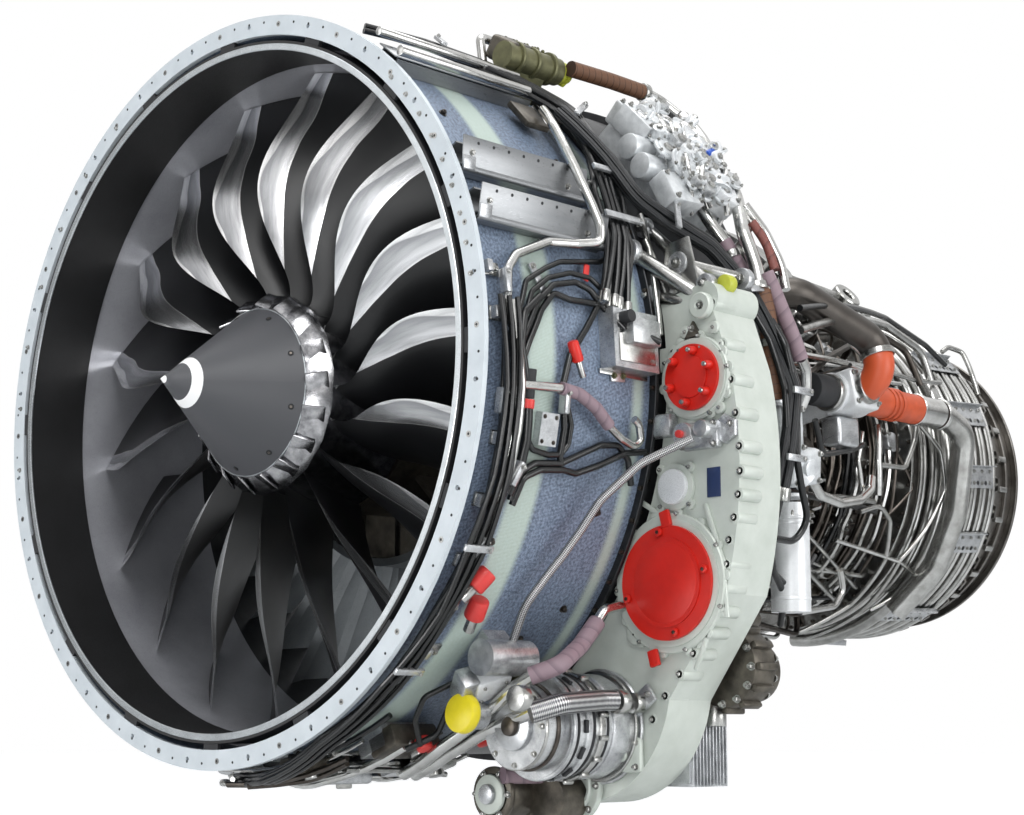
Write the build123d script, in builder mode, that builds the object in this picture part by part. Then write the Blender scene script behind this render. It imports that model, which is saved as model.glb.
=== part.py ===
"""A two-spool geared turbofan engine, as it stands without its nacelle.

Y is the engine's axis, from the inlet to the tail. Z is up, and the accessory gearbox is on
the +X side. The origin is the centre of the inlet flange's front face. Sizes are millimetres,
and an angle about the axis is counted from the top towards +X.
"""
import os
from math import atan2, cos, degrees, hypot, radians, sin, tan

from build123d import *

os.makedirs("parts", exist_ok=True)

# Fits and running clearances
seat_gap = 0.3
tip_gap = 3
rotor_gap = 6
shaft_gap = 0.3
bearing_gap = 0.05

# Fan case, its liners and the inlet flange
fan_bore_r = 927
rub_strip_wall = 22.7
case_wall = 18
case_length = 626
flange_width = 53
flange_thickness = 14
flange_bolt_inset = 24.5
flange_bolt_count = 24
flange_bolt_r = 6.5
flange_bolt_phase = 5.7
lip_recess = 13
liner_wall = 20
liner_reach = 72
pad_count = 16
pad_width = 60
pad_length = 12
pad_setback = 2

# Fan frame, exit guide vanes and splitter
frame_wall = 41
frame_length = 440
splitter_r = 440
splitter_wall = 22
splitter_lip_lead = 40
splitter_length = 480
splitter_web = 20
vane_count = 40
vane_setback = 60
vane_chord = 180
vane_lean = 34
vane_thickness = 9

# Fan rotor
fan_blade_count = 18
fan_row_phase = 12.4
spinner_r = 226.5
spinner_length = 298
hub_lead = 530
hub_length = 310
hub_front_r = 228
hub_rear_r = 298
fan_shaft_r = 90

# Core inlet case with the reduction gearbox in its bore
inlet_hub_r = 300
inlet_hub_length = 200
inlet_hub_setback = 10
gearbox_r = 205
gearbox_length = 120
gearbox_inset = 50
inlet_strut_count = 8
inlet_strut_thickness = 14
inlet_strut_chord = 110

# Core casings, from the compressor to the exhaust
core_skin = 20
compressor_case_r = 350
compressor_case_length = 670
diffuser_r = 405
diffuser_length = 450
turbine_front_r = 440
turbine_front_length = 250
nozzle_wall = 60
turbine_rear_r = 538
turbine_rear_length = 510
exhaust_r = 500
exhaust_length = 220
tail_hub_r = 200
tail_hub_length = 150
tail_strut_count = 10
tail_strut_thickness = 16
tail_strut_chord = 110
bearing_setback = 6
bearing_length = 16
bearing_hub_wall = 36
bearing_strut_count = 6
bearing_strut_thickness = 12

# Spools inside the core
low_shaft_r = 45
high_bore_gap = 7
low_drum_setback = 40
low_drum_rear_gap = 20
high_drum_setback = 30
high_drum_length = 600
high_disc_setback = 20
combustor_inner_r = 200
combustor_length = 300
turbine_drum_setback = 40
turbine_drum_length = 420

# Accessory gearbox on the fan frame, its pads and what it drives
gearbox_case_setback = 28
gearbox_case_depth = 165
gearbox_case_clearance = 22
gearbox_foot_width = 60
gearbox_foot_angles = (88, 117, 146)
gearbox_inner_angles = (79, 115, 151)
gearbox_outline = (
    (1112, 79),
    (1172, 80.5),
    (1152, 83),
    (1192, 90),
    (1262, 106),
    (1300, 116),
    (1284, 130),
    (1304, 146),
    (1228, 151),
)
pad_boss_height = 18
pad_boss_margin = 16
cover_thickness = 9
cover_dome_margin = 32
cover_dome_height = 4
large_cover_r = 144
large_cover_spot = (1000, -536)
small_cover_r = 84
small_cover_spot = (1090, -26)
generator_r = 126
generator_length = 250
generator_nose_r = 104
generator_nose_length = 70
generator_spot = (760, -890)
scavenge_pump_r = 62
scavenge_pump_length = 110
scavenge_pump_spot = (666, -1072)
hydraulic_pump_r = 85
hydraulic_pump_length = 180
hydraulic_pump_spot = (918, -664)
cooler_height = 190
cooler_width = 100
cooler_length = 150
cooler_spot = (860, -940)
cooler_fin_count = 7
cooler_fin_gap = 10
cooler_fin_depth = 30

# Accessories on the case, the frame and the core
oil_filter_r = 53
oil_filter_length = 290
oil_filter_top = -300
oil_filter_reach = 1015
oil_filter_lag = 60
oil_filter_head = 40
fuel_control_angle = 54
fuel_control_size = (250, 300, 85)
fuel_control_lag = 90
fuel_control_barrel_r = 34
fuel_control_barrel_length = 110
control_valve_angle = 33
control_valve_lead = 160
control_valve_length = 210
control_valve_r = 38
control_valve_height = 105
valve_foot_width = 50
air_valve_angle = 134
air_valve_lead = 400
air_valve_length = 160
air_valve_r = 45
air_valve_height = 75
rail_angles = (39, 62, 70)
rail_lengths = (480, 520, 440)
rail_setback = 20
rail_width = 70
rail_height = 36
rail_sheet = 5
bleed_angle = 80
bleed_axis_r = 700
bleed_valve_front = 1800
bleed_valve_r = 62
bleed_valve_length = 150
bleed_neck_r = 45
bleed_duct_r = 48
bleed_duct_length = 430
feed_duct_r = 47
feed_duct_bend = 70
feed_duct_lead = 290
feed_duct_angle = 62
feed_duct_top_r = 850
elbow_r = 40
elbow_bend = 90
elbow_places = ((700, 2440, 80), (700, 2545, 84), (650, 2590, 106), (642, 2600, 124), (640, 2560, 142))

# Cooling tubes round the rear turbine case, and the scalloped flange behind it
cooling_tube_count = 7
cooling_tube_r = 9
cooling_tube_pitch = 60
cooling_tube_height = 26
cooling_strap_angles = (22, 50, 72, 94, 117, 150, 190, 230, 270, 310, 345)
cooling_strap_width = 75
cooling_strap_length = 470
cooling_strap_height = 38
rear_flange_r = 560
rear_flange_thickness = 12
scallop_count = 36
scallop_r = 30
scallop_depth = 22

# Yoke and thrust links of the rear support over the core
yoke_front = 1700
yoke_length = 90
yoke_inner_r = 690
yoke_outer_r = 760
yoke_half_angle = 58
yoke_leg_width = 60
yoke_leg_angle = 35
link_r = 20
link_bend = 60
link_front_angle = 40
link_front_lag = 130

# Pipes along the core. Each row is pipe radius, height over the skin, the stations where it
# leaves and meets a skin, and the angles there.
core_pipe_bend = 30
core_pipes_rows = (
    (11, 70, 1180, 1810, 20, 28),
    (14, 95, 1260, 2050, 96, 108),
    (10, 70, 1200, 1850, 112, 121),
    (16, 90, 1330, 1900, 128, 137),
    (9, 75, 1190, 2080, 146, 152),
    (12, 95, 1290, 1980, 162, 170),
    (14, 75, 1220, 1870, 180, 188),
    (10, 90, 1350, 2100, 198, 206),
    (16, 75, 1240, 1960, 216, 225),
    (9, 70, 1190, 1840, 236, 244),
    (12, 95, 1310, 2060, 256, 264),
    (14, 70, 1210, 1890, 276, 285),
    (10, 80, 1280, 1990, 300, 308),
)

# Boxes and drums on the core. Each row is station, angle, length, width and height.
core_box_rows = (
    (1540, 20, 120, 90, 90),
    (1400, 78, 130, 100, 110),
    (1600, 104, 110, 90, 80),
    (1440, 140, 140, 110, 90),
    (1640, 168, 100, 90, 70),
    (1460, 205, 130, 110, 80),
    (1620, 240, 110, 90, 80),
    (1420, 290, 140, 110, 90),
    (1600, 325, 110, 90, 80),
)
core_box_round = 12

# Pipes behind and over the frame: pipe radius, bend radius, the skin that its feet stand on,
# the legs that have a foot, then radius, station and angle of each corner.
riser_foot_r = 9
riser_rows = (
    (22, 60, (1,), ((1108, 730, 35.3), (1108, 900, 35.5), (1104, 1015, 36), (1080, 1045, 41))),
    (19, 80, (0, 2), ((1110, 1040, 47), (1100, 1010, 56), (1100, 985, 63), (1100, 930, 73))),
    (25, 80, (1,), ((1100, 948, 76.8), (1100, 962, 82), (1104, 972, 90))),
    (20, 80, (1,), ((1125, 1010, 74), (1125, 1030, 79), (1118, 1048, 86.5))),
    (12, 60, (1,), ((1126, 1006, 66), (1130, 1030, 69.5), (1120, 1046, 72.4))),
)

# Pipes and conduits on the barrel, in rows like the risers' rows
barrel_rows = (
    (12.5, 28, (4, 7, 9, 11), (
        (995, 540, 44),
        (1024, 500, 57),
        (1024, 482, 64),
        (1024, 492, 74.6),
        (995, 360, 77),
        (995, 130, 78.5),
        (995, 92, 81.5),
        (995, 100, 90),
        (995, 118, 100),
        (995, 112, 108),
        (995, 88, 119),
        (995, 74, 132),
        (995, 62, 150),
    )),
    (12, 60, (1, 3), (
        (1022, 100, 23),
        (1022, 330, 29.5),
        (1024, 590, 42),
        (1024, 610, 47),
        (1024, 560, 56),
        (1024, 535, 64),
        (1022, 515, 72),
        (1005, 450, 81),
    )),
    (10, 60, (0, 3, 5), (
        (1006, 128, 90),
        (1006, 136, 100),
        (1006, 128, 112),
        (1006, 108, 124),
        (1006, 96, 138),
        (1006, 84, 154),
        (1006, 120, 172),
    )),
)

# Boxes on the barrel: station, angle, length, width and height
barrel_box_rows = (
    (520, 86.6, 165, 150, 50),
    (250, 101, 60, 80, 22),
    (300, 158, 160, 100, 60),
    (480, 166, 120, 120, 70),
    (380, 182, 180, 140, 60),
)

# Mounts to the pylon
mount_width = 120
mount_pin_r = 20
front_mount_length = 90
front_mount_height = 190
front_mount_lag = 40
rear_mount_length = 60
rear_mount_height = 110
mount_pin_inset = 45

# Stations along the axis and radii that follow from the sizes above
case_front = flange_thickness
frame_front = case_front + case_length
frame_rear = frame_front + frame_length
case_bore_r = fan_bore_r + rub_strip_wall + seat_gap
case_r = case_bore_r + case_wall
flange_r = case_bore_r + flange_width
flange_bolt_circle_r = flange_r - flange_bolt_inset
liner_bore_r = fan_bore_r - lip_recess
frame_r = fan_bore_r + frame_wall
hub_front = frame_front - hub_lead
hub_rear = hub_front + hub_length
liner_length = hub_front + liner_reach
splitter_lip = frame_front - splitter_lip_lead
splitter_rear = splitter_lip + splitter_length
compressor_rear = splitter_rear + compressor_case_length
diffuser_rear = compressor_rear + diffuser_length
turbine_mid = diffuser_rear + turbine_front_length
turbine_rear = turbine_mid + turbine_rear_length
exhaust_rear = turbine_rear + exhaust_length
high_bore_r = low_shaft_r + high_bore_gap
high_shaft_r = high_bore_r + core_skin


def across(station):
    """Plane square to the axis at a station, with X across and Z up."""
    return Plane.XZ.offset(-station)


def polar(radius, angle):
    """Point across the axis at a radius and an angle from the top towards +X."""
    return (radius * sin(radians(angle)), radius * cos(radians(angle)))


def spot(radius, station, angle):
    """Point in space at a radius, a station and an angle."""
    x, z = polar(radius, angle)
    return Vector(x, station, z)


def on_skin(radius, station, angle):
    """Plane resting on a round skin: local X runs along the axis and Z points outwards."""
    x, z = polar(radius, angle)
    return Plane(origin=(x, station, z), x_dir=(0, 1, 0), z_dir=(x, 0, z))


def pipe(radius, bend, corners, skin_r=0, foot_legs=()):
    """Pipe with tangent arcs at its corners, and a foot under the middle of the named legs."""
    places = [spot(*corner) for corner in corners]
    with BuildPart() as run:
        with BuildLine() as path:
            FilletPolyline(*places, radius=bend)
        with BuildSketch(Plane(origin=path.line @ 0, z_dir=path.line % 0)):
            Circle(radius)
        sweep(path=path.line)
        for leg in foot_legs:
            middle = (places[leg] + places[leg + 1]) / 2
            reach = hypot(middle.X, middle.Z)
            angle = degrees(atan2(middle.X, middle.Z))
            with BuildSketch(on_skin(skin_r + seat_gap, middle.Y, angle)):
                Circle(riser_foot_r)
            extrude(amount=reach - skin_r - seat_gap)
    return run


def finish(piece, name):
    """Label a finished piece and write it to its own file."""
    piece.part.label = name
    export_step(piece.part, "parts/" + name + ".step")


# Inlet flange: a plain ring with the bolt circle that carries the inlet cowl.
with BuildPart() as inlet_flange:
    with BuildSketch(across(0)):
        Circle(flange_r)
        Circle(case_bore_r, mode=Mode.SUBTRACT)
        with PolarLocations(flange_bolt_circle_r, flange_bolt_count, 90 - flange_bolt_phase):
            Circle(flange_bolt_r, mode=Mode.SUBTRACT)
    extrude(amount=-flange_thickness)
finish(inlet_flange, "inlet_flange")

# Fan case: a woven composite barrel behind the flange.
with BuildPart() as fan_case:
    with BuildSketch(across(case_front)):
        Circle(case_r)
        Circle(case_bore_r, mode=Mode.SUBTRACT)
    extrude(amount=-case_length)
finish(fan_case, "fan_case")

# Inlet liner: the dark acoustic skin ahead of the blades, held off the case by pads.
with BuildPart() as inlet_liner:
    with BuildSketch(across(0)):
        Circle(liner_bore_r + liner_wall)
        Circle(liner_bore_r, mode=Mode.SUBTRACT)
    extrude(amount=-liner_length)
finish(inlet_liner, "inlet_liner")

pad_inner_r = liner_bore_r + liner_wall + seat_gap
pad_outer_r = (case_bore_r**2 - (pad_width / 2) ** 2) ** 0.5 - seat_gap
with BuildPart() as liner_pads:
    with BuildSketch(across(pad_setback)):
        with PolarLocations((pad_inner_r + pad_outer_r) / 2, pad_count):
            Rectangle(pad_outer_r - pad_inner_r, pad_width)
    extrude(amount=-pad_length)
finish(liner_pads, "liner_pads")

# Rub strip: the grey track round the blade tips and the duct wall behind it.
with BuildPart() as rub_strip:
    with BuildSketch(across(liner_length)):
        Circle(fan_bore_r + rub_strip_wall)
        Circle(fan_bore_r, mode=Mode.SUBTRACT)
    extrude(amount=liner_length - frame_front)
finish(rub_strip, "rub_strip")

# Fan frame: the metal ring behind the composite barrel.
with BuildPart() as fan_frame:
    with BuildSketch(across(frame_front)):
        Circle(frame_r)
        Circle(fan_bore_r, mode=Mode.SUBTRACT)
    extrude(amount=-frame_length)
finish(fan_frame, "fan_frame")

# Splitter: the ring that parts the core air from the bypass air, with a web behind it
# that carries the core.
with BuildPart() as splitter:
    with BuildSketch(across(splitter_lip)):
        Circle(splitter_r)
        Circle(splitter_r - splitter_wall, mode=Mode.SUBTRACT)
    extrude(amount=-splitter_length)
    with BuildSketch(across(splitter_rear - splitter_web)):
        Circle(splitter_r - splitter_wall)
        Circle(compressor_case_r - core_skin, mode=Mode.SUBTRACT)
    extrude(amount=-splitter_web)
finish(splitter, "splitter")

# Exit guide vanes: cambered plates from the splitter to the fan frame.
vane_front = frame_front + vane_setback
vane_inner_r = splitter_r + seat_gap
vane_outer_r = (fan_bore_r**2 - vane_lean**2) ** 0.5 - seat_gap
with BuildPart() as exit_guide_vane:
    with BuildSketch(Plane.XY.offset(vane_inner_r)):
        with BuildLine():
            Polyline(
                (-vane_lean / 2, vane_front),
                (vane_lean / 4 + vane_thickness / 2, vane_front + vane_chord / 3),
                (vane_lean / 2, vane_front + vane_chord),
                (vane_lean / 4 - vane_thickness / 2, vane_front + vane_chord / 3),
                close=True,
            )
        make_face()
    extrude(amount=vane_outer_r - vane_inner_r)
with BuildPart() as exit_guide_vanes:
    for i in range(vane_count):
        add(exit_guide_vane.part.rotate(Axis.Y, i * 360 / vane_count))
finish(exit_guide_vanes, "exit_guide_vanes")

# Fan blades: lofted through sections that turn, widen and thin from root to tip.
# Each row is radius, how far the leading edge is behind the hub's front, its angle, chord,
# stagger, camber and thickness.
blade_sections = (
    (222, 56, -5.0, 240, 8, 0.10, 24),
    (485, 24, -12.8, 290, 31, 0.065, 15),
    (600, 28, -14.4, 322, 39, 0.05, 12),
    (705, 70, -13.3, 350, 46, 0.035, 10),
    (860, 142, -10.3, 380, 54, 0.022, 8),
    (945, 180, -8.8, 388, 58, 0.015, 7),
)
crown_share = 0.45


def blade_section(radius, setback, angle, chord, stagger, camber, thickness):
    """Thin cambered section on the plane at this radius, from the leading edge."""
    nose = Vector(radius * tan(radians(angle)), hub_front + setback)
    along = Vector(sin(radians(stagger)), cos(radians(stagger)))
    side = Vector(along.Y, -along.X)
    tail = nose + along * chord
    crown = nose + along * (chord * crown_share)
    with BuildSketch(Plane.XY.offset(radius)) as section:
        with BuildLine():
            ThreePointArc(nose, crown + side * (chord * camber + thickness / 2), tail)
            ThreePointArc(tail, crown + side * (chord * camber - thickness / 2), nose)
        make_face()
    return section.sketch


hub_slope = (hub_rear_r - hub_front_r) / hub_length
with BuildPart() as hub_void:
    with BuildSketch(Plane.XY):
        with BuildLine():
            Polyline(
                (0, hub_front - hub_length),
                (hub_front_r - hub_slope * hub_length + seat_gap, hub_front - hub_length),
                (hub_rear_r + hub_slope * hub_length + seat_gap, hub_rear + hub_length),
                (0, hub_rear + hub_length),
                close=True,
            )
        make_face()
    revolve(axis=Axis.Y)
with BuildPart() as tip_envelope:
    with BuildSketch(across(0)):
        Circle(fan_bore_r - tip_gap)
    extrude(amount=-frame_front)
with BuildPart() as fan_blade:
    loft([blade_section(*row) for row in blade_sections])
    add(hub_void.part, mode=Mode.SUBTRACT)
    add(tip_envelope.part, mode=Mode.INTERSECT)
with BuildPart() as fan_blades:
    for i in range(fan_blade_count):
        add(fan_blade.part.rotate(Axis.Y, fan_row_phase + i * 360 / fan_blade_count))
finish(fan_blades, "fan_blades")

# Fan hub: the disc under the blades, with its platforms as one smooth cone.
with BuildPart() as fan_hub:
    with BuildSketch(Plane.XY):
        with BuildLine():
            Polyline(
                (0, hub_front),
                (hub_front_r, hub_front),
                (hub_rear_r, hub_rear),
                (0, hub_rear),
                close=True,
            )
        make_face()
    revolve(axis=Axis.Y)
finish(fan_hub, "fan_hub")

# Spinner: the cone on the front of the hub.
with BuildPart() as spinner:
    with BuildSketch(Plane.XY):
        with BuildLine():
            Polyline((0, hub_front - spinner_length), (spinner_r, hub_front), (0, hub_front), close=True)
        make_face()
    revolve(axis=Axis.Y)
finish(spinner, "spinner")

# Reduction gearbox: a closed drum between the fan shaft and the low spool.
inlet_hub_front = hub_rear + inlet_hub_setback
gearbox_front = inlet_hub_front + gearbox_inset
gearbox_rear = gearbox_front + gearbox_length
with BuildPart() as reduction_gearbox:
    with BuildSketch(across(gearbox_front)):
        Circle(gearbox_r)
    extrude(amount=-gearbox_length)
finish(reduction_gearbox, "reduction_gearbox")

# Fan shaft: from the hub back to the gearbox, which it leaves by a running gap.
with BuildPart() as fan_shaft:
    with BuildSketch(across(hub_rear)):
        Circle(fan_shaft_r)
    extrude(amount=hub_rear + shaft_gap - gearbox_front)
finish(fan_shaft, "fan_shaft")

# Core inlet case: the ring that holds the gearbox, and the struts from it to the splitter.
strut_front = inlet_hub_front + inlet_hub_length - inlet_strut_chord
strut_root_r = inlet_hub_r + seat_gap
strut_tip_r = ((splitter_r - splitter_wall) ** 2 - (inlet_strut_thickness / 2) ** 2) ** 0.5 - seat_gap
with BuildPart() as core_inlet_case:
    with BuildSketch(across(inlet_hub_front)):
        Circle(inlet_hub_r)
        Circle(gearbox_r + seat_gap, mode=Mode.SUBTRACT)
    extrude(amount=-inlet_hub_length)
finish(core_inlet_case, "core_inlet_case")

with BuildPart() as core_inlet_struts:
    with BuildSketch(across(strut_front)):
        with PolarLocations((strut_root_r + strut_tip_r) / 2, inlet_strut_count):
            Rectangle(strut_tip_r - strut_root_r, inlet_strut_thickness)
    extrude(amount=-inlet_strut_chord)
finish(core_inlet_struts, "core_inlet_struts")

# Core casings: one barrel behind another, each seated on the piece before it. The first
# one holds the high spool's front bearing on struts.
bearing_front = splitter_rear + bearing_setback
bearing_bore_r = high_shaft_r + bearing_gap
bearing_hub_r = bearing_bore_r + bearing_hub_wall
bearing_strut_length = compressor_case_r - core_skin - bearing_hub_r + bearing_strut_thickness
with BuildPart() as compressor_case:
    with BuildSketch(across(splitter_rear)):
        Circle(compressor_case_r)
        Circle(compressor_case_r - core_skin, mode=Mode.SUBTRACT)
    extrude(amount=-compressor_case_length)
    with BuildSketch(across(bearing_front)):
        Circle(bearing_hub_r)
        with PolarLocations((compressor_case_r - core_skin + bearing_hub_r) / 2, bearing_strut_count):
            Rectangle(bearing_strut_length, bearing_strut_thickness)
        Circle(bearing_bore_r, mode=Mode.SUBTRACT)
    extrude(amount=-bearing_length)
finish(compressor_case, "compressor_case")

with BuildPart() as diffuser_case:
    with BuildSketch(across(compressor_rear)):
        Circle(diffuser_r)
        Circle(compressor_case_r - core_skin, mode=Mode.SUBTRACT)
    extrude(amount=-core_skin)
    with BuildSketch(across(compressor_rear + core_skin)):
        Circle(diffuser_r)
        Circle(diffuser_r - core_skin, mode=Mode.SUBTRACT)
    extrude(amount=core_skin - diffuser_length)
finish(diffuser_case, "diffuser_case")

high_turbine_bore_r = turbine_front_r - nozzle_wall
with BuildPart() as high_turbine_case:
    with BuildSketch(across(diffuser_rear)):
        Circle(turbine_front_r)
        Circle(high_turbine_bore_r, mode=Mode.SUBTRACT)
    extrude(amount=-turbine_front_length)
finish(high_turbine_case, "high_turbine_case")

with BuildPart() as low_turbine_case:
    with BuildSketch(across(turbine_mid)):
        Circle(turbine_rear_r)
        Circle(high_turbine_bore_r, mode=Mode.SUBTRACT)
    extrude(amount=-core_skin)
    with BuildSketch(across(turbine_mid + core_skin)):
        Circle(turbine_rear_r)
        Circle(turbine_rear_r - core_skin, mode=Mode.SUBTRACT)
    extrude(amount=core_skin - turbine_rear_length)
finish(low_turbine_case, "low_turbine_case")

# Exhaust case: the rear ring, the struts inside it and the hub that closes the core.
tail_strut_front = exhaust_rear - tail_hub_length
tail_strut_root_r = tail_hub_r + seat_gap
tail_strut_tip_r = ((exhaust_r - core_skin) ** 2 - (tail_strut_thickness / 2) ** 2) ** 0.5 - seat_gap
with BuildPart() as exhaust_case:
    with BuildSketch(across(turbine_rear)):
        Circle(turbine_rear_r)
        Circle(exhaust_r - core_skin, mode=Mode.SUBTRACT)
    extrude(amount=-core_skin)
    with BuildSketch(across(turbine_rear + core_skin)):
        Circle(exhaust_r)
        Circle(exhaust_r - core_skin, mode=Mode.SUBTRACT)
    extrude(amount=core_skin - exhaust_length)
finish(exhaust_case, "exhaust_case")

with BuildPart() as tail_struts:
    with BuildSketch(across(tail_strut_front)):
        with PolarLocations((tail_strut_root_r + tail_strut_tip_r) / 2, tail_strut_count):
            Rectangle(tail_strut_tip_r - tail_strut_root_r, tail_strut_thickness)
    extrude(amount=-tail_strut_chord)
finish(tail_struts, "tail_struts")

with BuildPart() as tail_hub:
    with BuildSketch(across(tail_strut_front)):
        Circle(tail_hub_r)
    extrude(amount=-tail_hub_length)
finish(tail_hub, "tail_hub")

# Low spool: quill, compressor drum, long shaft and turbine drum, each its own solid.
low_drum_front = gearbox_rear + low_drum_setback
low_drum_rear = splitter_rear - splitter_web - low_drum_rear_gap
low_drum_r = splitter_r - splitter_wall - rotor_gap
turbine_drum_front = turbine_mid + turbine_drum_setback
with BuildPart() as low_compressor_rotor:
    with BuildSketch(across(low_drum_front)):
        Circle(low_drum_r)
    extrude(amount=low_drum_front - low_drum_rear)
finish(low_compressor_rotor, "low_compressor_rotor")

with BuildPart() as low_shaft:
    with BuildSketch(across(gearbox_rear + shaft_gap)):
        Circle(low_shaft_r)
    extrude(amount=gearbox_rear + shaft_gap - low_drum_front)
    with BuildSketch(across(low_drum_rear)):
        Circle(low_shaft_r)
    extrude(amount=low_drum_rear - turbine_drum_front)
finish(low_shaft, "low_shaft")

with BuildPart() as low_turbine_rotor:
    with BuildSketch(across(turbine_drum_front)):
        Circle(turbine_rear_r - core_skin - rotor_gap)
    extrude(amount=-turbine_drum_length)
finish(low_turbine_rotor, "low_turbine_rotor")

# High spool: the compressor drum and the turbine disc turn round the low shaft, on a
# journal in the front bearing.
high_drum_front = splitter_rear + high_drum_setback
high_disc_front = diffuser_rear + high_disc_setback
with BuildPart() as high_compressor_rotor:
    with BuildSketch(across(bearing_front)):
        Circle(high_shaft_r)
        Circle(high_bore_r, mode=Mode.SUBTRACT)
    extrude(amount=bearing_front - high_drum_front)
    with BuildSketch(across(high_drum_front)):
        Circle(compressor_case_r - core_skin - rotor_gap)
        Circle(high_bore_r, mode=Mode.SUBTRACT)
    extrude(amount=-high_drum_length)
    with BuildSketch(across(high_drum_front + high_drum_length)):
        Circle(high_shaft_r)
        Circle(high_bore_r, mode=Mode.SUBTRACT)
    extrude(amount=high_drum_front + high_drum_length - high_disc_front)
finish(high_compressor_rotor, "high_compressor_rotor")

with BuildPart() as high_turbine_rotor:
    with BuildSketch(across(high_disc_front)):
        Circle(high_turbine_bore_r - rotor_gap)
        Circle(high_bore_r, mode=Mode.SUBTRACT)
    extrude(amount=-(turbine_front_length - 2 * high_disc_setback))
finish(high_turbine_rotor, "high_turbine_rotor")

# Combustor: a ring against the turbine nozzle, clear of the high shaft.
with BuildPart() as combustor:
    with BuildSketch(across(diffuser_rear - combustor_length)):
        Circle(diffuser_r - core_skin - seat_gap)
        Circle(combustor_inner_r, mode=Mode.SUBTRACT)
    extrude(amount=-combustor_length)
finish(combustor, "combustor")

# Accessory gearbox: a cast crescent round the side of the fan frame, on three feet.
gearbox_face = frame_front + gearbox_case_setback
gearbox_back = gearbox_face + gearbox_case_depth
gearbox_inner_r = frame_r + gearbox_case_clearance
foot_middle_r = frame_r + seat_gap + gearbox_case_clearance / 2 + seat_gap
inner_top, inner_middle, inner_foot = [polar(gearbox_inner_r, angle) for angle in gearbox_inner_angles]
outline = [polar(radius, angle) for radius, angle in gearbox_outline]
case_top, ear, neck, shoulder, rim_top, rim_foot, knee, toe, heel = outline
with BuildPart() as accessory_gearbox:
    with BuildSketch(across(gearbox_face)):
        with BuildLine():
            ThreePointArc(inner_foot, inner_middle, inner_top)
            Line(inner_top, case_top)
            ThreePointArc(case_top, ear, neck)
            Line(neck, shoulder)
            ThreePointArc(shoulder, rim_top, rim_foot)
            Line(rim_foot, knee)
            ThreePointArc(knee, toe, heel)
            Line(heel, inner_foot)
        make_face()
        for foot_angle in gearbox_foot_angles:
            with Locations(Location((*polar(foot_middle_r, foot_angle), 0), (0, 0, -foot_angle))):
                Rectangle(gearbox_foot_width, gearbox_case_clearance)
    extrude(amount=-gearbox_case_depth)
    with BuildSketch(across(gearbox_face - pad_boss_height)):
        with Locations(large_cover_spot):
            Circle(large_cover_r + pad_boss_margin)
        with Locations(small_cover_spot):
            Circle(small_cover_r + pad_boss_margin)
    extrude(amount=-pad_boss_height)
finish(accessory_gearbox, "accessory_gearbox")


def pad_cover(radius, spot):
    """Round transit cover on a pad, with a raised disc in its middle."""
    cover_back = gearbox_face - pad_boss_height
    with BuildPart() as cover:
        with BuildSketch(across(cover_back - cover_thickness)):
            with Locations(spot):
                Circle(radius)
        extrude(amount=-cover_thickness)
        with BuildSketch(across(cover_back - cover_thickness - cover_dome_height)):
            with Locations(spot):
                Circle(radius - cover_dome_margin)
        extrude(amount=-cover_dome_height)
    return cover


finish(pad_cover(large_cover_r, large_cover_spot), "large_pad_cover")
finish(pad_cover(small_cover_r, small_cover_spot), "small_pad_cover")

# Generator: a stepped drum on the front of the gearbox.
generator_front = gearbox_face - generator_length
with BuildPart() as generator:
    with BuildSketch(across(generator_front)):
        with Locations(generator_spot):
            Circle(generator_r)
    extrude(amount=-generator_length)
    with BuildSketch(across(generator_front - generator_nose_length)):
        with Locations(generator_spot):
            Circle(generator_nose_r)
    extrude(amount=-generator_nose_length)
finish(generator, "generator")

with BuildPart() as scavenge_pump:
    with BuildSketch(across(gearbox_face - scavenge_pump_length)):
        with Locations(scavenge_pump_spot):
            Circle(scavenge_pump_r)
    extrude(amount=-scavenge_pump_length)
finish(scavenge_pump, "scavenge_pump")

with BuildPart() as hydraulic_pump:
    with BuildSketch(across(gearbox_back)):
        with Locations(hydraulic_pump_spot):
            Circle(hydraulic_pump_r)
    extrude(amount=-hydraulic_pump_length)
finish(hydraulic_pump, "hydraulic_pump")

# Oil cooler: a block on the back of the gearbox, with slots between its fins.
fin_pitch = cooler_width / cooler_fin_count
with BuildPart() as oil_cooler:
    with BuildSketch(across(gearbox_back)):
        with Locations(cooler_spot):
            Rectangle(cooler_width, cooler_height)
    extrude(amount=-cooler_length)
    with BuildSketch(across(gearbox_back + cooler_length)):
        with Locations(cooler_spot):
            with GridLocations(fin_pitch, 0, cooler_fin_count - 1, 1):
                Rectangle(fin_pitch - cooler_fin_gap / 2, cooler_height)
    extrude(amount=cooler_fin_depth, mode=Mode.SUBTRACT)
finish(oil_cooler, "oil_cooler")

# Oil filter: an upright can on a head that reaches in to the rear face of the fan frame.
filter_station = frame_rear + oil_filter_lag
filter_head_middle = oil_filter_top - oil_filter_head
filter_head_inner = (frame_r**2 - filter_head_middle**2) ** 0.5 - frame_wall / 2
with BuildPart() as oil_filter:
    with BuildSketch(Plane.XY.offset(oil_filter_top)):
        with Locations((oil_filter_reach, filter_station)):
            Circle(oil_filter_r)
    extrude(amount=-oil_filter_length)
    with BuildSketch(Plane.XY.offset(filter_head_middle)):
        with BuildLine():
            Polyline(
                (filter_head_inner, frame_rear),
                (oil_filter_reach, frame_rear),
                (oil_filter_reach, filter_station),
                close=True,
            )
        make_face()
    extrude(amount=oil_filter_head / 2, both=True)
finish(oil_filter, "oil_filter")

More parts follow.
